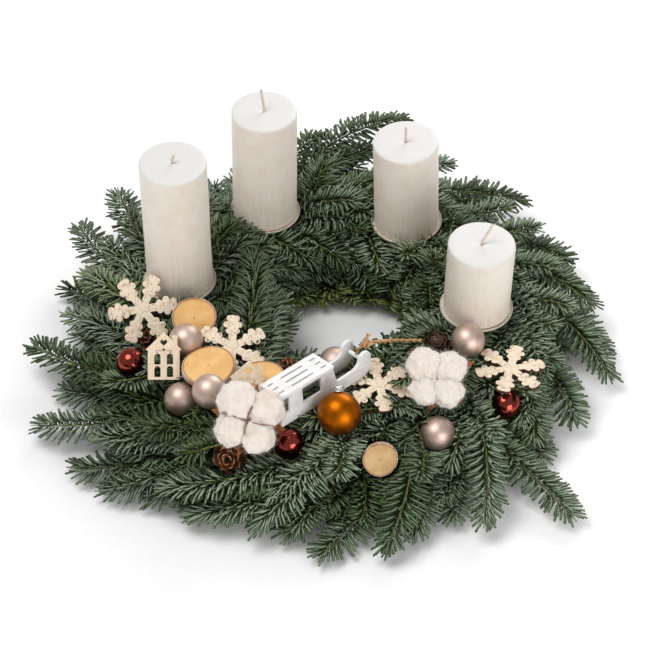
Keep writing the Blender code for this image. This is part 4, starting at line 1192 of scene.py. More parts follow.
@dataclass
class Houses:
    """Two small laser-cut plywood houses."""

    width: float = 28.0
    wall: float = 26.0
    peak: float = 42.0
    thickness: float = 3.0
    window: tuple[float, float] = (5.4, 9.5)
    specs: tuple[Placed, ...] = (
        Placed((-143.5, -93.4, 80.2), FACING, 0.0),
        Placed((-70.0, -124.1, 75.4), (0.1, -0.72, 0.69), -10.0),
    )

    def arch(self, x: float, y: float) -> Outline:
        """A window with a round head, from its lower left corner.

        Args:
            x: Where the corner is across the house.
            y: Where it is up the house.

        Returns:
            The outline.
        """
        wide, high = self.window
        r = wide / 2
        turns = np.linspace(0, math.pi, 13)
        head = [(x + r + r * math.cos(t), y + high - r + r * math.sin(t)) for t in turns]
        return [(x, y), (x + wide, y), *head]

    def heart(self, x: float, y: float, size: float) -> Outline:
        """A heart about its middle.

        Args:
            x: Where it is across the house.
            y: Where it is up the house.
            size: Its width.

        Returns:
            The outline.
        """
        points = []
        for t in np.linspace(0, 2 * math.pi, 28, endpoint=False):
            points.append((x + size * 0.031 * 16 * math.sin(t) ** 3,
                           y + size * 0.031 * (13 * math.cos(t) - 5 * math.cos(2 * t) - 2 * math.cos(3 * t)
                                               - math.cos(4 * t))))
        return points

    def scroll(self, x: float, y: float, side: float) -> Outline:
        """A fine scroll line that curls up at its outer end, cut as a narrow slit.

        Args:
            x: Where it starts across the house.
            y: Where it starts up the house.
            side: 1 to run to the right, -1 to the left.

        Returns:
            The slit's outline.
        """
        middle = [(t, 1.5 * math.sin(t * 1.15)) for t in np.linspace(0, 2.6, 9)]
        hook = [(3.7 + 1.15 * math.cos(a), 0.25 + 1.05 * math.sin(a)) for a in np.linspace(2.2, -2.6, 11)]
        line = [(x + side * u, y + v) for u, v in [*middle, *hook]]
        left, right = [], []
        for k, (u, v) in enumerate(line):
            before, after = line[max(k - 1, 0)], line[min(k + 1, len(line) - 1)]
            along = Vector((after[0] - before[0], after[1] - before[1])).normalized() * 0.17
            left.append((u - along.y, v + along.x))
            right.append((u + along.y, v - along.x))
        return [*left, *reversed(right)]

    def outlines(self) -> list[Outline]:
        """The edge, four windows, two hearts and two scrolls."""
        w, wall, peak = self.width / 2, self.wall, self.peak
        base = -peak / 2
        slope = (peak - wall) / (w + 2.2)
        inner, outer = w - 6.4, w - 2.0
        edge = [(-w, base), (w, base), (w, base + wall), (w + 2.2, base + wall),
                (outer, base + peak - slope * outer), (outer, base + peak - 2.8), (inner, base + peak - 2.8),
                (inner, base + peak - slope * inner), (0, base + peak), (-w - 2.2, base + wall),
                (-w, base + wall)]
        windows = [self.arch(x, base + y) for x in (-8.2, 2.8) for y in (2.5, 13.5)]
        gable = base + wall + (peak - wall) * 0.42
        hearts = [self.heart(0, gable, 6.2), self.heart(0, base + wall + 0.2, 2.9)]
        scrolls = [self.scroll(2.2 * side, base + wall - 1.4, side) for side in (-1, 1)]
        return [edge, *windows, *hearts, *scrolls]

    def build(self) -> None:
        """Makes both."""
        for k, spec in enumerate(self.specs, 1):
            shape = board(self.outlines(), self.thickness, 0.12)
            piece_of(f"house_{k}_plywood", shape, [PLYWOOD, CHARRED], spec.placing(), [f"house_{k}"],
                     35)


@dataclass(frozen=True)
class SliceSpec(Placed):
    """A sawn slice: its two radii, its thickness and how fresh its wood is."""

    long_radius: float
    short_radius: float
    thickness: float
    wood: SawnWood = SAWN_WOOD


@dataclass
class WoodSlices:
    """Slices of a birch branch with their bark on."""

    bark: float = 1.0
    specs: tuple[SliceSpec, ...] = (
        SliceSpec((-118.9, -43.7, 78.6), FACING, 0.0, 19.5, 19.0, 5.0),
        SliceSpec((-104.1, -101.1, 73.3), (0.03, -0.09, 0.99), 8.0, 23.5, 22.5, 6.0),
        SliceSpec((-57.1, -108.2, 67.2), (0.0, -0.12, 0.99), 0.0, 19.0, 18.0, 6.0),
        SliceSpec((45.3, -184.0, 45.0), (0.02, -0.80, 0.60), 10.0, 15.2, 15.0, 9.0, OLD_WOOD),
    )

    def disc(self, spec: SliceSpec, seed: int) -> Shape:
        """One slice: its sawn faces end in a rim of bark that stands a little proud.

        Args:
            spec: The slice.
            seed: What varies its bark.

        Returns:
            A bmesh in millimetres.
        """
        h = spec.thickness / 2
        reach = spec.long_radius
        face = [(0.0, h), (reach * 0.35, h), (reach * 0.7, h), (reach - self.bark, h)]
        rim = [(reach - self.bark + 0.12, h + 0.12), (reach - 0.3, h + 0.05), (reach, h - 0.4),
               (reach, h * 0.3), (reach, -h * 0.3), (reach, 0.4 - h), (reach - 0.3, -h - 0.05),
               (reach - self.bark + 0.12, -h - 0.12)]
        back = [(r, -z) for r, z in reversed(face)]
        shape = lathe([*face, *rim, *back], 72)
        layer = shape.verts.layers.float.new("reach")
        for v in shape.verts:
            v[layer] = math.hypot(v.co.x, v.co.y) / (reach - self.bark)
            a = math.atan2(v.co.y, v.co.x)
            out = math.hypot(v.co.x, v.co.y) / reach
            wobble = 1 + 0.025 * math.sin(2 * a + 1) + 0.02 * math.sin(3 * a)
            rough = noise.noise(Vector((math.cos(a) * 4, math.sin(a) * 4, v.co.z / 4 + seed))) * 0.018
            scale = wobble + (rough if out > 0.97 else 0.0)
            v.co.x *= scale
            v.co.y *= scale * spec.short_radius / spec.long_radius
        for f in shape.faces:
            middle = f.calc_center_median()
            inside = math.hypot(middle.x, middle.y * spec.long_radius / spec.short_radius)
            f.material_index = 0 if inside < reach - self.bark * 1.05 else 1
        keep_own(shape)
        return shape

    def build(self) -> None:
        """Makes all four."""
        for k, spec in enumerate(self.specs, 1):
            piece_of(f"wood_slice_{k}_birch", self.disc(spec, k), [spec.wood, BARK], spec.placing(),
                     [f"wood_slice_{k}"], 50)


# Cones


class ConeKind(Enum):
    """Which tree a cone comes from."""

    PINE = "open rosette with wide tan-edged scales"
    LARCH = "small dark egg with close scales"


@dataclass(frozen=True)
class ConeForm:
    """How a kind of cone's scales stand: their number, shares of its size, degrees of tilt and finish."""

    count: int
    height: float
    root: float
    crown: float
    root_tilt: float
    crown_tilt: float
    finish: ConeScales


CONE_FORMS = {
    ConeKind.PINE: ConeForm(18, 0.62, 1.10, 0.50, 0, 56, PINE_SCALES),
    ConeKind.LARCH: ConeForm(46, 0.8, 1.20, 0.45, 14, 72, LARCH_SCALES),
}


@dataclass(frozen=True)
class ConeSpec:
    """A cone: its middle, its radius and height, the way its crown faces and its kind."""

    centre: Point
    radius: float
    height: float
    crown: Point
    kind: ConeKind


@dataclass
class Cones:
    """Cones whose scales Geometry Nodes set in a golden-angle spiral round the axis."""

    specs: tuple[ConeSpec, ...] = (
        ConeSpec((-85.0, -185.5, 47.0), 15.0, 17.0, (-0.1, -0.75, 0.66), ConeKind.PINE),
        ConeSpec((97.4, -66.3, 71.0), 11.0, 19.0, (-0.2, -0.62, 0.75), ConeKind.LARCH),
        ConeSpec((-160.5, -41.2, 49.4), 11.5, 18.0, (-0.2, -0.3, 0.93), ConeKind.PINE),
        ConeSpec((-114.7, -35.5, 67.3), 11.0, 17.0, (0.3, -0.3, 0.9), ConeKind.PINE),
        ConeSpec((-34.8, -89.0, 61.0), 11.0, 18.0, (-0.3, -0.3, 0.9), ConeKind.PINE),
    )

    def scale_part(self) -> bpy.types.Object:
        """One scale of length 1 along x: narrow at its root, spoon-shaped, with a thick rounded end."""
        shape = bmesh.new()
        layer = shape.verts.layers.float.new("reach")
        rows, columns = 9, 5
        sheets = []
        for lift in (0.06, -0.05):
            grid = []
            for i in range(rows):
                u = i / (rows - 1)
                wide = 0.10 + 0.30 * math.sin(min(u * 1.2, 1.0) * math.pi / 2)
                end = math.sqrt(max(0.0, 1 - ((u - 0.70) / 0.32) ** 2)) if u > 0.70 else 1.0
                row = []
                for j in range(columns):
                    w = (j / (columns - 1) - 0.5) * 2
                    x = u * (1 - 0.06 * w * w)
                    z = 0.20 * u * u + 0.10 * w * w * u + lift * (0.4 + 0.8 * u)
                    v = shape.verts.new((x, w * wide * max(end, 0.30), z))
                    v[layer] = min(1.0, max(u, 0.55 * u + 0.45 * abs(w) * (0.4 + 0.6 * u)))
                    row.append(v)
                grid.append(row)
            sheets.append(grid)
        top, under = sheets
        for i in range(rows - 1):
            for j in range(columns - 1):
                shape.faces.new((top[i][j], top[i + 1][j], top[i + 1][j + 1], top[i][j + 1]))
                shape.faces.new((under[i][j + 1], under[i + 1][j + 1], under[i + 1][j], under[i][j]))
        border = [(i, 0) for i in range(rows)] + [(rows - 1, j) for j in range(1, columns)]
        border += [(i, columns - 1) for i in range(rows - 2, -1, -1)]
        border += [(0, j) for j in range(columns - 2, 0, -1)]
        for (i, j), (k, m) in zip(border, border[1:] + border[:1]):
            shape.faces.new((top[i][j], under[i][j], under[k][m], top[k][m]))
        bmesh.ops.recalc_face_normals(shape, faces=shape.faces)
        return hidden_part("cone scale", shape)

    def tree(self) -> Tree:
        """The spiral: each scale's place, tilt and size come from its number."""
        tree = new_tree("cone spiral", {
            "Scale": "Object", "Count": "Int", "Height": "Float", "Root length": "Float",
            "Crown length": "Float", "Root tilt": "Float", "Crown tilt": "Float", "Seed": "Int",
            "Finish": "Material",
        })
        given = add(tree, "NodeGroupInput").outputs
        index = add(tree, "GeometryNodeInputIndex").outputs[0]
        share = math_of(tree, "DIVIDE", index, given["Count"])
        level = math_of(tree, "MULTIPLY", math_of(tree, "SUBTRACT", share, 0.5), given["Height"])
        spot = add(tree, "ShaderNodeCombineXYZ", {"Z": level}).outputs[0]
        points = add(tree, "GeometryNodePoints", {"Count": given["Count"], "Position": spot}).outputs[0]
        tilt = add(tree, "ShaderNodeMapRange",
                   {"Value": share, "To Min": given["Root tilt"], "To Max": given["Crown tilt"]}).outputs[0]
        loose = add(tree, "FunctionNodeRandomValue", {2: -0.09, 3: 0.09, "Seed": given["Seed"]},
                    data_type="FLOAT").outputs[1]
        turn = math_of(tree, "MULTIPLY_ADD", index, GOLDEN, loose)
        euler = add(tree, "ShaderNodeCombineXYZ",
                    {"Y": math_of(tree, "MULTIPLY", math_of(tree, "ADD", tilt, loose), -1.0), "Z": turn})
        size = add(tree, "ShaderNodeMapRange", {"Value": share, "To Min": given["Root length"],
                                                "To Max": given["Crown length"]}).outputs[0]
        part = add(tree, "GeometryNodeObjectInfo", {"Object": given["Scale"]}).outputs["Geometry"]
        turned = add(tree, "FunctionNodeEulerToRotation", {0: euler.outputs[0]}).outputs[0]
        placed = add(tree, "GeometryNodeInstanceOnPoints",
                     {"Points": points, "Instance": part, "Rotation": turned, "Scale": size}).outputs[0]
        real = add(tree, "GeometryNodeRealizeInstances", {0: placed}).outputs[0]
        dressed = add(tree, "GeometryNodeSetMaterial", {"Geometry": real, "Material": given["Finish"]})
        add(tree, "NodeGroupOutput", {0: dressed.outputs[0]})
        return tree

    def core(self, spec: ConeSpec) -> Shape:
        """The woody axis that the scales stand on."""
        r, h = spec.radius * 0.28, spec.height / 2
        return lathe([(0.0, -h), (r * 0.7, -h * 0.9), (r, -h * 0.3), (r * 0.8, h * 0.4), (0.0, h * 0.8)], 12)

    def build(self) -> None:
        """Makes all five."""
        tree, scale = self.tree(), self.scale_part()
        for k, spec in enumerate(self.specs, 1):
            form = CONE_FORMS[spec.kind]
            values = {
                "Scale": scale, "Count": form.count, "Height": spec.height * form.height,
                "Root length": spec.radius * form.root, "Crown length": spec.radius * form.crown,
                "Root tilt": math.radians(form.root_tilt), "Crown tilt": math.radians(form.crown_tilt),
                "Seed": k, "Finish": form.finish.material(),
            }
            shape = bmesh.new()
            shape.from_mesh(baked(tree, bpy.data.meshes.new("axis"), values))
            join(shape, self.core(spec))
            piece_of(f"cone_{k}_scales", shape, [form.finish], frame_at(spec.centre, spec.crown),
                     [f"cone_{k}"], 60)


# Cotton


@dataclass(frozen=True)
class CottonSpec:
    """An open cotton boll: its place, its size, and each husk point's angle and length."""

    centre: Point
    facing: Point
    turn: float
    lobe_radius: float
    reach: float
    seamed: bool = True
    husk_points: tuple[tuple[float, float], ...] = ((45, 1.0), (135, 1.0), (225, 1.0), (315, 1.0))


@dataclass
class CottonBolls:
    """Four soft lobes of lint in a dry husk, with fibres that stand off them."""

    lobes: int = 4
    squash: Point = (1.06, 1.02, 0.80)
    fullness: tuple[float, ...] = (0.94, 1.0, 0.86, 0.87)
    fibres: int = 5200
    specs: tuple[CottonSpec, ...] = (
        CottonSpec((-67.2, -184.0, 93.3), (0.0, -0.72, 0.69), 30.0, 17.5, 17.0),
        CottonSpec((94.7, -128.2, 85.4), (0.0, -0.66, 0.75), 42.0, 16.0, 15.0, False,
                   ((-16, 1.32), (-86, 1.08), (-144, 0.96), (135, 0.85))),
    )

    def lobe(self, spec: CottonSpec, k: int, seed: float) -> Shape:
        """One lobe, swollen towards its outer end and tufted.

        Args:
            spec: The boll.
            k: The lobe's number.
            seed: What varies its swells.

        Returns:
            A bmesh in millimetres, in the boll's own axes.
        """
        shape = bmesh.new()
        bmesh.ops.create_icosphere(shape, subdivisions=5, radius=1.0)
        turn = Matrix.Rotation(2 * math.pi / self.lobes * k, 4, "Z")
        for v in shape.verts:
            way = v.co.normalized()
            soft = noise.fractal(way * 1.5 + Vector((seed, k * 9.1, 0)), 0.6, 2.1, 3)
            tuft = noise.fractal(way * 6.0 + Vector((k * 3.7, seed, 5)), 0.7, 2.0, 3)
            swell = 1 + 0.06 * way.x + 0.14 * soft + 0.010 * tuft
            corner = 1 - 0.10 * (way.x**4 + way.y**4 + way.z**4 - 0.4)
            full = spec.lobe_radius * self.fullness[k] * swell * corner
            v.co = Vector([way[i] * full * self.squash[i] for i in range(3)])
            v.co.x += spec.reach * self.fullness[k] * 0.95
            v.co.z += 0.4 * k
        shape.transform(turn)
        return shape

    def tree(self) -> Tree:
        """Loose fibres on the lint: each lies nearly flat and curls away at its end."""
        tree = new_tree("lint fibres", {"Fibre": "Object", "Density": "Float", "Seed": "Int",
                                        "Finish": "Material"})
        given = add(tree, "NodeGroupInput").outputs
        spread = add(tree, "GeometryNodeDistributePointsOnFaces",
                     {"Mesh": given["Geometry"], "Density": given["Density"], "Seed": given["Seed"]})
        normal = spread.outputs["Normal"]
        loose = add(tree, "FunctionNodeRandomValue", {0: (-1, -1, -1), 1: (1, 1, 1), "Seed": given["Seed"]},
                    data_type="FLOAT_VECTOR").outputs[0]
        lean = add(tree, "ShaderNodeVectorMath", {0: loose, "Scale": 1.1}, operation="SCALE").outputs[0]
        way = add(tree, "ShaderNodeVectorMath", {0: normal, 1: lean}, operation="ADD").outputs[0]
        rotation = add(tree, "FunctionNodeAlignRotationToVector", {"Vector": way}, axis="Z").outputs[0]
        size = add(tree, "FunctionNodeRandomValue", {2: 2.6, 3: 5.6, "Seed": given["Seed"]},
                   data_type="FLOAT").outputs[1]
        part = add(tree, "GeometryNodeObjectInfo", {"Object": given["Fibre"]}).outputs["Geometry"]
        placed = add(tree, "GeometryNodeInstanceOnPoints",
                     {"Points": spread.outputs["Points"], "Instance": part, "Rotation": rotation,
                      "Scale": size}).outputs[0]
        joined = add(tree, "GeometryNodeJoinGeometry")
        tree.links.new(placed, joined.inputs[0])
        tree.links.new(given["Geometry"], joined.inputs[0])
        real = add(tree, "GeometryNodeRealizeInstances", {0: joined.outputs[0]}).outputs[0]
        dressed = add(tree, "GeometryNodeSetMaterial", {"Geometry": real, "Material": given["Finish"]})
        add(tree, "NodeGroupOutput", {0: dressed.outputs[0]})
        return tree

    def fibre_part(self) -> bpy.types.Object:
        """One fibre of length 1: a fine three-sided hair with a bend."""
        marks = [Vector((0, 0, 0)), Vector((0.14, 0, 0.48)), Vector((0.55, 0.10, 0.90))]
        return hidden_part("lint fibre", sweep(marks, lambda along: round_section(0.011 * (1.1 - along), 3)))

    def lint(self, index: int, spec: CottonSpec, tree: Tree, fibre: bpy.types.Object) -> None:
        """The four lobes of one boll and their loose fibres.

        Args:
            index: The boll's number.
            spec: Its place and size.
            tree: The tree that sets the fibres.
            fibre: One fibre.
        """
        whole = bmesh.new()
        for k in range(self.lobes):
            join(whole, self.lobe(spec, k, index * 4.3))
        source = bpy.data.meshes.new("lobes")
        whole.to_mesh(source)
        whole.free()
        area = sum(p.area for p in source.polygons)
        values = {"Fibre": fibre, "Density": self.fibres / area, "Seed": index, "Finish": LINT.material()}
        mesh = baked(tree, source, values)
        shape = bmesh.new()
        shape.from_mesh(mesh)
        piece_of(f"cotton_fibre_{index}_lint", shape, [LINT], frame_at(spec.centre, spec.facing, spec.turn),
                 [f"cotton_fibre_{index}"], 180)

    def husk(self, index: int, spec: CottonSpec) -> None:
        """The dry boll: a shallow bowl whose walls run up between the lobes to curled points.

        Args:
            index: The boll's number.
            spec: Its place and size.
        """
        depth = spec.lobe_radius * 0.80 + 2.0
        shape = bmesh.new()
        rows, columns = 9, 7
        for k, (angle, share) in enumerate(spec.husk_points):
            turn = math.radians(angle)
            grid = []
            for i in range(rows):
                u = i / (rows - 1)
                out = 1.5 + (spec.reach * 1.05 + spec.lobe_radius * 0.72) * share * u
                rise = -depth + depth * 1.02 * u**2.2
                wide = 1.2 + 9.5 * math.sin(math.pi * min(1.0, u * 0.9 + 0.08)) * (1 - 0.55 * u)
                row = []
                for j in range(columns):
                    w = (j / (columns - 1) - 0.5) * 2
                    curl = -1.8 * w * w * math.sin(math.pi * u)
                    ragged = 0.5 * noise.noise(Vector((u * 5, w * 3, k * 4.7 + index)))
                    point = Vector((out, w * wide * (1 - u**6), rise - curl + ragged))
                    row.append(shape.verts.new(Matrix.Rotation(turn, 3, "Z") @ point))
                grid.append(row)
            for near, far in zip(grid, grid[1:]):
                for j in range(columns - 1):
                    shape.faces.new((near[j], far[j], far[j + 1], near[j + 1]))
        self.thicken(shape, 0.8)
        keep_own(shape)
        piece_of(f"cotton_husk_{index}_boll", shape, [BOLL], frame_at(spec.centre, spec.facing, spec.turn),
                 [f"cotton_husk_{index}"], 70)

    def seams(self, index: int, spec: CottonSpec) -> None:
        """The thin brown edges of the boll's inner walls, seen as lines between the lobes.

        Args:
            index: The boll's number.
            spec: Its place and size.
        """
        shape = bmesh.new()
        for k in range(self.lobes):
            turn = Matrix.Rotation(2 * math.pi / self.lobes * (k + 0.5), 4, "Z")
            marks = []
            for u in np.linspace(0, 1, 10):
                out = spec.reach * (1.3 if k % 2 else 0.75) * u
                gap = math.hypot(out * math.cos(math.pi / 4) - spec.reach * 0.9, out * math.sin(math.pi / 4))
                level = math.sqrt(max(0.02, 1 - (gap / spec.lobe_radius) ** 2))
                sway = 0.7 * math.sin(u * 5 + k)
                marks.append(turn @ Vector((out, sway, spec.lobe_radius * self.squash[2] * level + 0.6)))
            rib = sweep(marks, lambda along: [(x * 2.4, y * 0.9) for x, y in round_section(0.42, 6)])
            join(shape, rib)
        piece_of(f"cotton_husk_{index}_seams", shape, [SEAM], frame_at(spec.centre, spec.facing, spec.turn),
                 sharp=70)

    def thicken(self, shape: Shape, thickness: float) -> None:
        """Gives an open sheet two sides and an edge."""
        bmesh.ops.recalc_face_normals(shape, faces=shape.faces)
        bmesh.ops.solidify(shape, geom=list(shape.faces), thickness=thickness)
        bmesh.ops.recalc_face_normals(shape, faces=shape.faces)

    def build(self) -> None:
        """Makes both."""
        tree, fibre = self.tree(), self.fibre_part()
        for index, spec in enumerate(self.specs, 1):
            self.lint(index, spec, tree, fibre)
            self.husk(index, spec)
            if spec.seamed:
                self.seams(index, spec)


# Sledge


@dataclass
class Sledge:
    """A small white sledge: a slotted deck on two side boards whose runners end in round horns."""

    centre: Point = (-24.3, -138.3, 64.8)
    heading: float = 42.2
    roll: float = -7.4
    pitch: float = 1.6
    width: float = 27.0
    length: float = 62.0
    height: float = 32.5
    deck: float = 3.0
    runner: float = 3.0
    slot_width: float = 1.7
    band: float = 12.8
    horn_reach: float = 74.2
    horn_height: float = 26.2
    horn_radius: float = 6.9
    dowel_radius: float = 2.0
    dowel_spot: tuple[float, float] = (68.5, 14.6)

    def placing(self) -> Matrix:
        """The sledge's own forward, left and up axes."""
        placed = Matrix.Translation(Vector(self.centre))
        for angle, axis in ((self.heading, "Z"), (self.roll, "X"), (self.pitch, "Y")):
            placed = placed @ Matrix.Rotation(math.radians(angle), 4, axis)
        return placed

    def opening(self, x: float, y: float, length: float, width: float) -> Outline:
        """A slot or window with slightly rounded corners, about its middle.

        Args:
            x: Where its middle is along the board.
            y: Where its middle is across it.
            length: Along x.
            width: Along y.

        Returns:
            The outline.
        """
        corner = min(0.7, width / 2.4)
        points = []
        for sx, sy, start in ((1, 1, 0), (-1, 1, 90), (-1, -1, 180), (1, -1, 270)):
            for turn in (0, 45, 90):
                a = math.radians(start + turn)
                points.append((x + sx * (length / 2 - corner) + corner * math.cos(a),
                               y + sy * (width / 2 - corner) + corner * math.sin(a)))
        return points

    def side_outline(self) -> Outline:
        """The side board, whose runner sweeps up at the front into a round-headed horn."""
        half = self.length / 2
        top = self.height - self.deck - 0.3
        band, reach, round_head = self.band, self.horn_reach, self.horn_radius
        sweep_up = [(reach - band + band * math.sin(t), band - band * math.cos(t))
                    for t in np.linspace(0.05, 1.5, 12)]
        x, y = reach - round_head, self.horn_height - round_head
        head = [(x + round_head * math.cos(t), y + round_head * math.sin(t))
                for t in np.linspace(0, math.pi - 0.1, 18)]
        back = [(reach - 14.4, band + 4.9), (reach - 15.9, band + 3.0), (reach - 18.6, band + 1.3),
                (reach - 22, band + 0.4), (half + 5, band), (half + 3.4, band + 0.6),
                (half + 2.6, band + 1.9)]
        return [(-half, 0), (half, 0), *sweep_up, *head, *back, (half - 0.5, top), (-half, top)]

    def build(self) -> None:
        """Makes the deck, both side boards and the dowel."""
        placing, half = self.placing(), self.length / 2
        third, outer = half - 7, self.width / 2
        edge = [(-half, -outer), (half, -outer), (half, outer), (-half, outer)]
        rows = (-self.width * 0.27, 0, self.width * 0.27)
        columns = ((-third, 6.5), (0, 25), (third, 6.5))
        slots = [self.opening(x, y, long, self.slot_width) for y in rows for x, long in columns]
        up = Matrix.Translation((0, 0, self.height - self.deck / 2))
        piece_of("sledge_deck_painted", board([edge, *slots], self.deck, 0.4), [WHITE_PAINT, WHITE_PAINT],
                 placing @ up, ["sledge_deck"], 35)
        stand = Matrix.Rotation(math.radians(90), 4, "X")
        windows = [self.opening(x, 20.0, long, 15.6) for x, long in ((-24.7, 8.6), (5.6, 21.6))]
        across = self.width / 2 - self.runner / 2 - 0.8
        for name, side in (("sledge_runner_left", across), ("sledge_runner_right", -across)):
            away = Matrix.Translation((0, side, 0))
            piece_of(f"{name}_painted", board([self.side_outline(), *windows], self.runner, 0.45),
                     [WHITE_PAINT, WHITE_PAINT], placing @ away @ stand, [name], 35)
        r, reach = self.dowel_radius, across - self.runner / 2
        dowel = lathe([(0.0, -reach), (r - 0.2, -reach), (r, 0.2 - reach), (r, reach - 0.2), (r - 0.2, reach),
                       (0.0, reach)], 24)
        spot = Matrix.Translation((self.dowel_spot[0], 0, self.dowel_spot[1]))
        piece_of("sledge_dowel_painted", dowel, [WHITE_PAINT], placing @ spot @ stand)


# Foliage


@dataclass(frozen=True)
class SpraySpec:
    """A spray: where it leaves the ring, where its tip ends, how many side shoots it has and its tone."""

    azimuth: float
    angle: float
    tip_azimuth: float
    tip_radius: float
    tip_height: float
    sides: int = 0
    tone: float | None = None


def sprays(*rows: tuple[float, ...]) -> tuple[SpraySpec, ...]:
    """Sprays without side shoots, from rows of numbers.

    Args:
        *rows: Where each leaves the ring, where its tip ends and, as a sixth number, its tone if it is set.

    Returns:
        The sprays.
    """
    return tuple(SpraySpec(*row[:5], tone=row[5] if len(row) > 5 else None) for row in rows)


@dataclass
class Shoot:
    """A stretch of twig: its line, its needles' length, its tone (0 green, 1 blue, 2 young) and girth."""

    points: list[Vector]
    needle: float
    tone: float
    girth: float

    def length(self) -> float:
        """The length of its line."""
        return sum((q - p).length for p, q in zip(self.points, self.points[1:]))


class Thicket:
    """What the twigs keep clear of: the trim, the candles, the table and the wreath's open middle."""

    def __init__(self, nodes: Iterable[str]) -> None:
        """Gathers the surfaces of the CAD nodes, in millimetres.

        Args:
            nodes: The names of the nodes that foliage gives way to.
        """
        held = list(nodes)
        self.all_tree, self.all_surface = self.gather("obstacles", held)
        on_show = [n for n in held if not n.startswith(("candle", "wick"))]
        self.trim_tree, self.trim_surface = self.gather("trim", on_show)

    def gather(self, name: str, nodes: Iterable[str]) -> tuple[BVHTree, bpy.types.Object]:
        """The nodes' surfaces as one search tree in millimetres and one object that isn't in the scene.

        Args:
            name: The object's name.
            nodes: The CAD nodes.

        Returns:
            The search tree and the object.
        """
        points, faces = [], []
        for node in nodes:
            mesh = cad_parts[node].data
            first = len(points)
            points += [v.co / MM for v in mesh.vertices]
            faces += [[first + k for k in p.vertices] for p in mesh.polygons]
        mesh = bpy.data.meshes.new(name)
        mesh.from_pydata([p * MM for p in points], [], faces)
        return BVHTree.FromPolygons(points, faces), bpy.data.objects.new(name, mesh)

    def clear(self, point: Vector, room: float) -> bool:
        """Whether a twig may pass a point without touching anything or hiding the trim from the front.

        Args:
            point: The point, in millimetres.
            room: How far the twig keeps from everything.

        Returns:
            True if it may.
        """
        in_hole = sum(((c - m) / r) ** 4 for c, m, r in zip(point, HOLE_CENTRE, HOLE_REACH)) < 1.0
        if point.z < 3.0 or in_hole or self.all_tree.find_nearest(point, room)[0]:
            return False
        return self.trim_tree.ray_cast(point, -Vector(FACING), TRIM_SHOWS)[0] is None

    def trimmed(self, points: list[Vector], room: float = 2.6) -> list[Vector]:
        """The line up to where it first meets something.

        Args:
            points: The twig's line.
            room: How far it keeps from everything.

        Returns:
            Its first points, at least two.
        """
        kept = points[:2]
        for point in points[2:]:
            if not self.clear(point, room):
                break
            kept.append(point)
        return kept


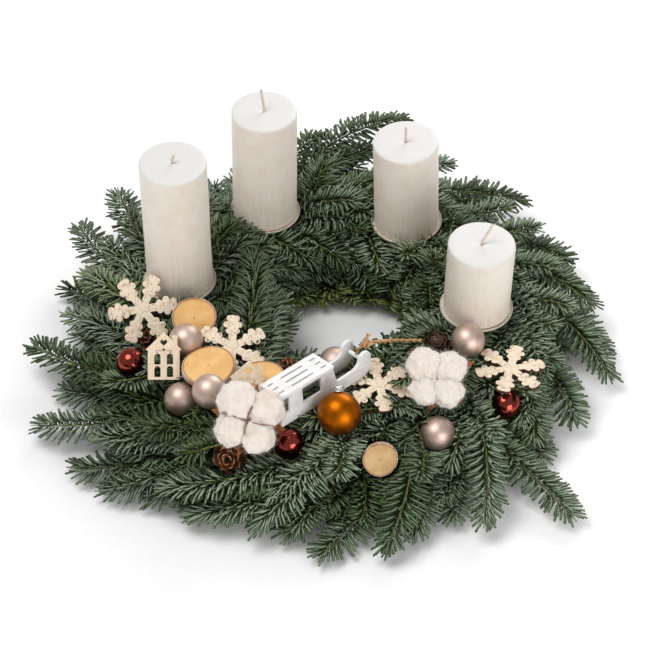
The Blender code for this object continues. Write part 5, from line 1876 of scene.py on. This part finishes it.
@dataclass
class Foliage:
    """Fir sprays all round the ring: long ones that fan outwards, shorter ones over the crown, and a
    close layer on the straw. Geometry Nodes set the needles."""

    needle_length: float = 20.5
    pitch: float = 0.66
    steps: int = 14
    rise: float = 0.34
    pull: float = 0.2
    lateral_turn: float = 42.0
    needle_bend: float = 0.15
    # A needle's rings: how far up each is, its half width and its half thickness, as shares of the length
    needle_rows: tuple[Point, ...] = ((0.34, 0.065, 0.027), (0.97, 0.054, 0.021))
    least_needle: float = 6.0
    needle_gap: float = 0.5
    fanned_count: int = 108
    crown_count: int = 72
    inner_count: int = 80
    bud: tuple[tuple[float, float], ...] = ((0.8, 1.1), (2.2, 1.5), (3.6, 1.0), (4.4, 0.3))
    outer: tuple[SpraySpec, ...] = sprays(
        (103, 42, 74, 258, 72), (96, -8, 90, 262, 16), (82, 12, 61, 240, 46), (74, -18, 75, 256, 10),
        (65, 20, 42, 252, 34), (64, -12, 52, 252, 14), (40, 12, 21, 240, 32), (40, -14, 30, 240, 12),
        (34, 8, 12, 240, 24), (22, 38, 4, 243, 40), (10, 24, -12, 260, 20), (18, 8, -3, 254, 14),
        (12, -16, -2, 244, 10), (-8, 6, -27, 246, 20), (-18, 14, -38, 230, 28), (-28, -12, -38, 238, 10),
        (-43, -2, -46.5, 302, 14), (-42, 34, -60, 268, 22, 0.9), (-54, 0, -64, 245, 12),
        (-60, 4, -73, 250, 14), (-64, 24, -79, 264, 17), (-74, -8, -91, 261, 10), (-86, 4, -98, 240, 12),
        (-84, 36, -104, 246, 24), (-96, -6, -118, 244, 12), (-112, 8, -127, 250, 14),
        (-120, 2, -135, 268, 12), (-126, -6, -143, 272, 12), (-126, 12, -143, 246, 36),
        (-140, 6, -155, 279, 18), (-153, -8, -164, 245, 10), (-154, 10, -173, 266, 32),
        (-172, 16, -184, 238, 26), (-174, 48, -191, 226, 54, 1.45), (172, 27, 155, 257, 51),
        (168, -14, 165, 252, 12), (162, 44, 145, 240, 67), (147, -10, 139, 254, 14),
        (142, 42, 126, 194, 54), (124, 2, 104, 250, 18), (100, 60, 80, 213, 58), (113, 52, 92, 222, 70),
        (97, 44, 77, 222, 60),
    )
    crown: tuple[SpraySpec, ...] = sprays(
        (100, 96, 78, 120, 78), (87, 72, 70, 158, 74), (82, 128, 70, 92, 66), (38, 98, 20, 120, 76),
        (27, 72, 8, 160, 70), (20, 132, -2, 94, 66), (157, 98, 137, 120, 78), (152, 66, 132, 166, 74),
        (144, 134, 130, 90, 64), (112, 140, 96, 90, 58), (172, 140, 156, 88, 60), (52, 142, 34, 88, 54),
        (-10, 140, -30, 88, 56), (-40, 138, -56, 90, 56), (-68, 140, -84, 84, 40),
        (-100, 142, -118, 86, 46), (-128, 136, -146, 90, 60), (-133, 120, -212, 80, 76),
        (-126, 128, -195, 54, 58), (-10, 35, -17, 205, 42), (34, 120, 30, 82, 78, 1.3),
        (18, 118, 14, 98, 90, 1.25), (96, 84, 92, 150, 90, 0.2), (-116, 70, -124, 196, 60, 1.4),
        (-92, 22, -124, 250, 33, 1.0), (-84, 8, -117, 250, 20, 0.9), (-148, 186, -166, 37, 42, 0.8),
        (-160, 178, -190, 45, 50, 0.5),
    )
    body_reach: tuple[float, ...] = (240, 230, 240, 225, 235, 245, 238, 262, 254, 252, 240, 226)
    give_way: ClassVar[tuple[str, ...]] = ("straw_ring", "binding_wire", "fir_bunch")

    def line(self, spec: SpraySpec) -> list[Vector]:
        """The curve of a spray from the ring to its tip.

        Args:
            spec: The spray.

        Returns:
            Its points, from its root.
        """
        root = on_ring(spec.azimuth, spec.angle, CORE_INNER + 3.0)
        out = (on_ring(spec.azimuth, spec.angle, 100) - root).normalized()
        tip = on_ring(spec.tip_azimuth, 0, spec.tip_radius - RING_RADIUS)
        tip.z = spec.tip_height
        span = (tip - root).length
        bend = root + out * span * self.rise + (tip - root) * self.pull
        shares = np.linspace(0, 1, self.steps)
        return [root * (1 - t) ** 2 + bend * 2 * t * (1 - t) + tip * t * t for t in shares]

    def laterals(self, points: list[Vector], draw: random.Random, tone: float, count: int) -> list[Shoot]:
        """Side shoots of a spray, in the flat of its frond.

        Args:
            points: The spray's own line.
            draw: The source of chance.
            tone: The spray's tone.
            count: How many to grow, from the root outwards.

        Returns:
            The side shoots.
        """
        found = []
        total = sum((q - p).length for p, q in zip(points, points[1:]))
        for k, share in enumerate((0.24, 0.36, 0.50, 0.62)[:count]):
            at = min(len(points) - 2, round(share * (len(points) - 1)))
            forward = (points[at + 1] - points[at]).normalized()
            side = forward.cross(Vector((0, 0, 1))).normalized() * (1 if k % 2 else -1)
            turn = math.radians(self.lateral_turn * draw.uniform(0.8, 1.15))
            way = forward * math.cos(turn) + side * math.sin(turn)
            long = total * (1.0 - share) * draw.uniform(0.50, 0.68) + 8
            line = []
            for t in np.linspace(0, 1, 9):
                bent = (way * (1 - 0.35 * t) + forward * 0.35 * t).normalized()
                line.append(points[at] + bent * long * t)
            found.append(Shoot(line, 0.9, tone + draw.uniform(-0.1, 0.1), 0.9))
        return found

    def reach_at(self, azimuth: float) -> float:
        """How far the body of the wreath reaches, needles and all, as seen at the height of its middle."""
        middles = [15 + 30 * k for k in range(BUNCHES)]
        return float(np.interp(azimuth, middles, self.body_reach, period=360))

    def fillers(self, draw: random.Random) -> list[SpraySpec]:
        """Sprays between the listed ones: fanning out below, and lying round the crown and the inner wall.

        Args:
            draw: The source of chance.

        Returns:
            The sprays.
        """
        found = []
        for k in range(self.fanned_count):
            azimuth = k * 360 / self.fanned_count + draw.uniform(-2, 2)
            angle = (-24, -4, 16, 36)[k % 4] + draw.uniform(-6, 6)
            tip = azimuth - draw.uniform(13, 32)
            height = max(7, 12 + 0.5 * (angle + 24) + draw.uniform(-4, 6))
            behind = max(0.0, math.sin(math.radians(tip))) * max(0.0, height - 18)
            radius = self.reach_at(tip) - 14 - behind - draw.uniform(0, 24)
            found.append(SpraySpec(azimuth, angle, tip, radius, height, k % 2))
        for k in range(self.crown_count):
            azimuth = k * 360 / self.crown_count + draw.uniform(-2, 2)
            angle = (60, 84, 106)[k % 3] + draw.uniform(-6, 6)
            found.append(SpraySpec(azimuth, angle, azimuth - draw.uniform(24, 34),
                                   RING_RADIUS + 62 * math.cos(math.radians(angle)) + draw.uniform(-4, 4),
                                   RING_HEIGHT + 43 * math.sin(math.radians(angle)) + draw.uniform(-4, 4)))
        for k in range(self.inner_count):
            azimuth = k * 360 / self.inner_count + draw.uniform(-2, 2)
            angle = (128, 150, 172, 196)[k % 4] + draw.uniform(-6, 6)
            low = k % 4 == 3
            found.append(SpraySpec(azimuth, angle, azimuth - draw.uniform(22, 34),
                                   draw.uniform(54, 62) if low else draw.uniform(62, 74),
                                   RING_HEIGHT + 30 * math.sin(math.radians(angle)) + draw.uniform(-6, 6),
                                   tone=1.7 if low and 30 < azimuth < 160 else None))
        return found

    def close_layer(self, draw: random.Random) -> list[Shoot]:
        """Short shoots that lie on the straw all round, leaning the same way as the rest.

        Args:
            draw: The source of chance.

        Returns:
            The shoots.
        """
        found = []
        rows = (-34, -8, 18, 44, 70, 96, 122, 148, 174, 200)
        for row, angle in enumerate(rows):
            for k in range(22):
                start = (k + 0.5 * (row % 2)) * 360 / 22 + draw.uniform(-3, 3)
                drift = draw.uniform(-12, 12)
                line = []
                for t in np.linspace(0, 1, 8):
                    line.append(on_ring(start - 26 * t, angle + drift * t, CORE_INNER + 3 + 11 * t**1.5))
                found.append(Shoot(line, 0.85, draw.uniform(0.1, 0.8), 0.8))
        return found

    def shoots(self) -> dict[int, list[Shoot]]:
        """Every shoot, by the bunch whose sector it leaves from.

        Returns:
            Lists of shoots by the bunch's number from 0.
        """
        draw = random.Random(SEED)
        nodes = [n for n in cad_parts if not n.startswith(self.give_way)]
        self.thicket = Thicket(nodes)
        found: dict[int, list[Shoot]] = {k: [] for k in range(BUNCHES)}

        def keep(shoot: Shoot, sector: int, least: float = 22.0) -> bool:
            """Adds a shoot cut back to what finds room, if enough of it is left."""
            shoot.points = self.thicket.trimmed(shoot.points)
            if len(shoot.points) < 3 or shoot.length() < least:
                return False
            found[sector].append(shoot)
            return True

        for spec in [*self.outer, *self.crown, *self.fillers(draw)]:
            sector = int(spec.azimuth % 360 // (360 / BUNCHES))
            tone = draw.uniform(0.0, 1.0) if spec.tone is None else spec.tone
            points = self.line(spec)
            sides = self.laterals(points, draw, tone, spec.sides)
            if keep(Shoot(points, 1.0, tone, 1.0), sector):
                for side in sides:
                    keep(side, sector)
        for shoot in self.close_layer(draw):
            first = shoot.points[0]
            keep(shoot, int(math.degrees(math.atan2(first.y, first.x)) % 360 // (360 / BUNCHES)))
        return found

    def needle_part(self) -> bpy.types.Object:
        """One needle of length 1 along z: narrow at its root, flat, blunt, and bent forwards along y."""
        shape = bmesh.new()
        layer = shape.verts.layers.float.new("reach")
        root = shape.verts.new((0, 0, 0))
        rows = []
        for z, wide, thick in self.needle_rows:
            bend = self.needle_bend * z * z
            corners = ((-thick, bend + wide, z), (-thick, bend - wide, z), (thick, bend, z))
            rows.append([shape.verts.new(c) for c in corners])
            for v in rows[-1]:
                v[layer] = z
        for k in range(3):
            shape.faces.new((root, rows[0][k], rows[0][(k + 1) % 3]))
            shape.faces.new((rows[0][k], rows[1][k], rows[1][(k + 1) % 3], rows[0][(k + 1) % 3]))
        shape.faces.new(rows[1])
        bmesh.ops.recalc_face_normals(shape, faces=shape.faces)
        return hidden_part("fir needle", shape)

    def tree(self) -> Tree:
        """The needles: set along each twig in a golden-angle spiral, swept forwards, combed to the sides,
        drawn up a little, and cut short where they would run into the trim."""
        tree = new_tree("fir needles on twigs", {
            "Needle": "Object", "Obstacles": "Object", "Trim": "Object", "Pitch": "Float",
            "Length": "Float", "Seed": "Int", "Needle finish": "Material", "Twig finish": "Material",
        })
        given = add(tree, "NodeGroupInput").outputs

        def named(name: str, kind: str = "FLOAT") -> Socket:
            """A kept attribute of the twig's points."""
            return add(tree, "GeometryNodeInputNamedAttribute", {"Name": name}, data_type=kind).outputs[0]

        def vector(operation: str, a: Any, b: Any = (0, 0, 0), scale: Any = 1.0) -> Socket:
            """The result of one sum on vectors."""
            second = {3: scale} if operation == "SCALE" else {1: b}
            return add(tree, "ShaderNodeVectorMath", {0: a, **second}, operation=operation).outputs[0]

        line = add(tree, "GeometryNodeMeshToCurve", {0: given["Geometry"]}).outputs[0]
        thick = add(tree, "GeometryNodeSetCurveRadius", {"Curve": line, "Radius": named("girth")}).outputs[0]
        ring = add(tree, "GeometryNodeCurvePrimitiveCircle", {"Resolution": 5, "Radius": MM}).outputs[0]
        twig = add(tree, "GeometryNodeCurveToMesh",
                   {"Curve": thick, "Profile Curve": ring, "Fill Caps": True}).outputs[0]
        twig = add(tree, "GeometryNodeSetMaterial",
                   {"Geometry": twig, "Material": given["Twig finish"]}).outputs[0]
        even = add(tree, "GeometryNodeResampleCurve", {"Curve": line, "Length": given["Pitch"]},
                   mode="LENGTH").outputs[0]
        points = add(tree, "GeometryNodeCurveToPoints", {"Curve": even}, mode="EVALUATED").outputs[0]

        index = add(tree, "GeometryNodeInputIndex").outputs[0]
        spot = add(tree, "GeometryNodeInputPosition").outputs[0]
        heading = vector("NORMALIZE", named("heading", "FLOAT_VECTOR"))
        side = vector("NORMALIZE", vector("CROSS_PRODUCT", heading, (0, 0, 1)))
        over = vector("CROSS_PRODUCT", side, heading)
        along = named("along")
        loose = add(tree, "FunctionNodeRandomValue", {2: -0.30, 3: 0.30, "ID": index, "Seed": given["Seed"]},
                    data_type="FLOAT").outputs[1]
        turn = math_of(tree, "MULTIPLY_ADD", index, GOLDEN, loose)
        across, top = math_of(tree, "COSINE", turn), math_of(tree, "SINE", turn)
        above = math_of(tree, "MAXIMUM", top, 0.0)
        apart = math_of(tree, "MULTIPLY", math_of(tree, "SIGN", across),
                        math_of(tree, "MULTIPLY_ADD", above, -0.45, 0.5))
        parted = math_of(tree, "ADD", across, apart)
        upright = math_of(tree, "MULTIPLY_ADD", top, 0.42, 0.30)
        radial = vector("NORMALIZE", vector("ADD", vector("SCALE", side, scale=parted),
                                            vector("SCALE", over, scale=upright)))
        tilt = math_of(tree, "MULTIPLY_ADD", math_of(tree, "POWER", along, 10.0), -0.9,
                       math_of(tree, "MULTIPLY_ADD", above, -0.40,
                               math_of(tree, "MULTIPLY_ADD", loose, 0.35, 1.50)))
        way = vector("NORMALIZE", vector("ADD", vector("SCALE", radial, scale=math_of(tree, "SINE", tilt)),
                                         vector("SCALE", heading, scale=math_of(tree, "COSINE", tilt))))
        varied = add(tree, "FunctionNodeRandomValue", {2: 0.82, 3: 1.08, "ID": index, "Seed": given["Seed"]},
                     data_type="FLOAT").outputs[1]
        short = math_of(tree, "MULTIPLY_ADD", math_of(tree, "POWER", along, 8.0), -0.25, 1.0)
        early = math_of(tree, "MULTIPLY", eased(tree, along, 0.0, 0.08, 0.55, 1.0),
                        math_of(tree, "MULTIPLY_ADD", above, -0.25, 1.0))
        size = math_of(tree, "MULTIPLY", math_of(tree, "MULTIPLY", given["Length"], named("needle")),
                       math_of(tree, "MULTIPLY", varied, math_of(tree, "MULTIPLY", short, early)))
        wall = add(tree, "GeometryNodeObjectInfo", {"Object": given["Obstacles"]}).outputs["Geometry"]
        ray = add(tree, "GeometryNodeRaycast", {"Target Geometry": wall, "Source Position": spot,
                                                "Ray Direction": way, "Ray Length": size})
        room = math_of(tree, "SUBTRACT", ray.outputs["Hit Distance"], self.needle_gap * MM)
        fitted = add(tree, "GeometryNodeSwitch",
                     {"Switch": ray.outputs["Is Hit"], "False": size, "True": room},
                     input_type="FLOAT").outputs[0]
        enough = math_of(tree, "GREATER_THAN", fitted, self.least_needle * MM)
        trim = add(tree, "GeometryNodeObjectInfo", {"Object": given["Trim"]}).outputs["Geometry"]
        seen: Any = 0.0
        for share in (0.5, 1.0):
            gone = math_of(tree, "MULTIPLY", fitted, share)
            part_way = vector("ADD", spot, vector("SCALE", way, scale=gone))
            over_trim = add(tree, "GeometryNodeRaycast",
                            {"Target Geometry": trim, "Source Position": part_way,
                             "Ray Direction": tuple(-x for x in FACING), "Ray Length": TRIM_SHOWS * MM})
            seen = math_of(tree, "MAXIMUM", over_trim.outputs["Is Hit"], seen)
        end = add(tree, "ShaderNodeSeparateXYZ",
                  {0: vector("ADD", spot, vector("SCALE", way, scale=fitted))}).outputs
        off_centre: Any = 0.0
        for axis, middle, reach in zip("XY", HOLE_CENTRE, HOLE_REACH):
            off = math_of(tree, "MULTIPLY_ADD", end[axis], 1 / (reach * MM), -middle / reach)
            fourth = math_of(tree, "POWER", math_of(tree, "ABSOLUTE", off), 4.0)
            off_centre = math_of(tree, "ADD", off_centre, fourth)
        outside = math_of(tree, "GREATER_THAN", off_centre, 1.0)
        kept = math_of(tree, "MULTIPLY", math_of(tree, "SUBTRACT", enough, seen),
                       math_of(tree, "MULTIPLY", outside, enough))
        rotation = add(tree, "FunctionNodeAlignRotationToVector", {"Vector": way}, axis="Z").outputs[0]
        rotation = add(tree, "FunctionNodeAlignRotationToVector", {"Rotation": rotation, "Vector": heading},
                       axis="Y", pivot_axis="Z").outputs[0]
        part = add(tree, "GeometryNodeObjectInfo", {"Object": given["Needle"]}).outputs["Geometry"]
        full = vector("SCALE", (1, 1, 0), scale=given["Length"])
        scale = vector("ADD", full, add(tree, "ShaderNodeCombineXYZ", {"Z": fitted}).outputs[0])
        placed = add(tree, "GeometryNodeInstanceOnPoints",
                     {"Points": points, "Selection": kept, "Instance": part, "Rotation": rotation,
                      "Scale": scale}).outputs[0]
        shade = add(tree, "FunctionNodeRandomValue", {2: 0.0, 3: 1.0, "Seed": given["Seed"]},
                    data_type="FLOAT").outputs[1]
        placed = add(tree, "GeometryNodeStoreNamedAttribute",
                     {"Geometry": placed, "Name": "shade", "Value": shade},
                     data_type="FLOAT", domain="INSTANCE").outputs[0]
        real = add(tree, "GeometryNodeRealizeInstances", {0: placed}).outputs[0]
        drift = add(tree, "ShaderNodeTexNoise",
                    {"Vector": spot, "Scale": 30.0, "Detail": 1.0}).outputs["Color"]
        bend = vector("SCALE", vector("SUBTRACT", drift, (0.5, 0.5, 0.5)),
                      scale=math_of(tree, "MULTIPLY", named("reach"), 9.0 * MM))
        real = add(tree, "GeometryNodeSetPosition", {"Geometry": real, "Offset": bend}).outputs[0]
        parts = add(tree, "ShaderNodeSeparateXYZ", {0: spot}).outputs
        level = math_of(tree, "MAXIMUM", parts["Z"], 1.0 * MM)
        pressed = add(tree, "ShaderNodeCombineXYZ", {"X": parts["X"], "Y": parts["Y"], "Z": level}).outputs[0]
        real = add(tree, "GeometryNodeSetPosition", {"Geometry": real, "Position": pressed}).outputs[0]
        real = add(tree, "GeometryNodeSetMaterial",
                   {"Geometry": real, "Material": given["Needle finish"]}).outputs[0]
        joined = add(tree, "GeometryNodeJoinGeometry")
        tree.links.new(real, joined.inputs[0])
        tree.links.new(twig, joined.inputs[0])
        result = joined.outputs[0]
        for spent in ("girth", "heading", "along", "needle"):
            result = add(tree, "GeometryNodeRemoveAttribute", {"Geometry": result, "Name": spent}).outputs[0]
        result = add(tree, "GeometryNodeSetShadeSmooth", {"Geometry": result}).outputs[0]
        add(tree, "NodeGroupOutput", {0: result})
        return tree

    def wires(self, shoots: list[Shoot]) -> bpy.types.Mesh:
        """The twigs' lines as one mesh of edges, with what the needles need kept on their points.

        Args:
            shoots: The shoots of one bunch.

        Returns:
            The mesh.
        """
        places, edges, rows = [], [], []
        for shoot in shoots:
            first, last = len(places), len(shoot.points) - 1
            for k, point in enumerate(shoot.points):
                ahead = (shoot.points[min(k + 1, last)] - shoot.points[max(k - 1, 0)]).normalized()
                share = k / last
                rows.append((ahead, share, shoot.needle, shoot.tone, shoot.girth * (1.1 - 0.6 * share)))
                places.append(point * MM)
            for beyond, girth in self.bud:
                rows.append((ahead, 1.0, 0.0, shoot.tone, girth))
                places.append((point + ahead * beyond) * MM)
            edges += [(k, k + 1) for k in range(first, len(places) - 1)]
        mesh = bpy.data.meshes.new("twigs")
        mesh.from_pydata(places, edges, [])
        mesh.attributes.new("heading", "FLOAT_VECTOR", "POINT").data.foreach_set(
            "vector", [x for row in rows for x in row[0]])
        for k, name in enumerate(("along", "needle", "tone", "girth"), 1):
            mesh.attributes.new(name, "FLOAT", "POINT").data.foreach_set("value", [row[k] for row in rows])
        return mesh

    def build(self) -> None:
        """Grows every bunch."""
        tree, needle, shoots = self.tree(), self.needle_part(), self.shoots()
        for sector, held in shoots.items():
            values = {"Needle": needle, "Obstacles": self.thicket.all_surface,
                      "Trim": self.thicket.trim_surface, "Pitch": self.pitch * MM,
                      "Length": self.needle_length * MM, "Seed": sector,
                      "Needle finish": FIR_NEEDLES.material(), "Twig finish": FIR_BARK.material()}
            mesh = baked(tree, self.wires(held), values)
            name = f"fir_bunch_{sector + 1:02d}"
            mesh.name = f"{name}_sprays"
            shown(mesh.name, mesh, [name])
            log.info("%s: %d shoots, %d triangles", mesh.name, len(held),
                     sum(len(p.vertices) - 2 for p in mesh.polygons))


# What keeps its CAD shape


def dress_ring() -> None:
    """Gives the straw ring and its wire, which keep their CAD shape, their finishes."""
    for node, finish in (("straw_ring", STRAW), ("binding_wire", WIRE)):
        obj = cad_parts[node]
        obj.data.materials.clear()
        obj.data.materials.append(finish.material())


def main() -> None:
    """Builds the studio and every sub-assembly, and gives the straw ring and its wire their finishes."""
    logging.basicConfig(level=logging.INFO, format="%(message)s")
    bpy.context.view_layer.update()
    for made in (Studio(), PullCord(), Candles(), Baubles(), Snowflakes(), Houses(), WoodSlices(), Cones(),
                 CottonBolls(), Sledge(), Foliage()):
        made.build()
        log.info("%s built", type(made).__name__)
    dress_ring()


if __name__ == "__main__":
    main()
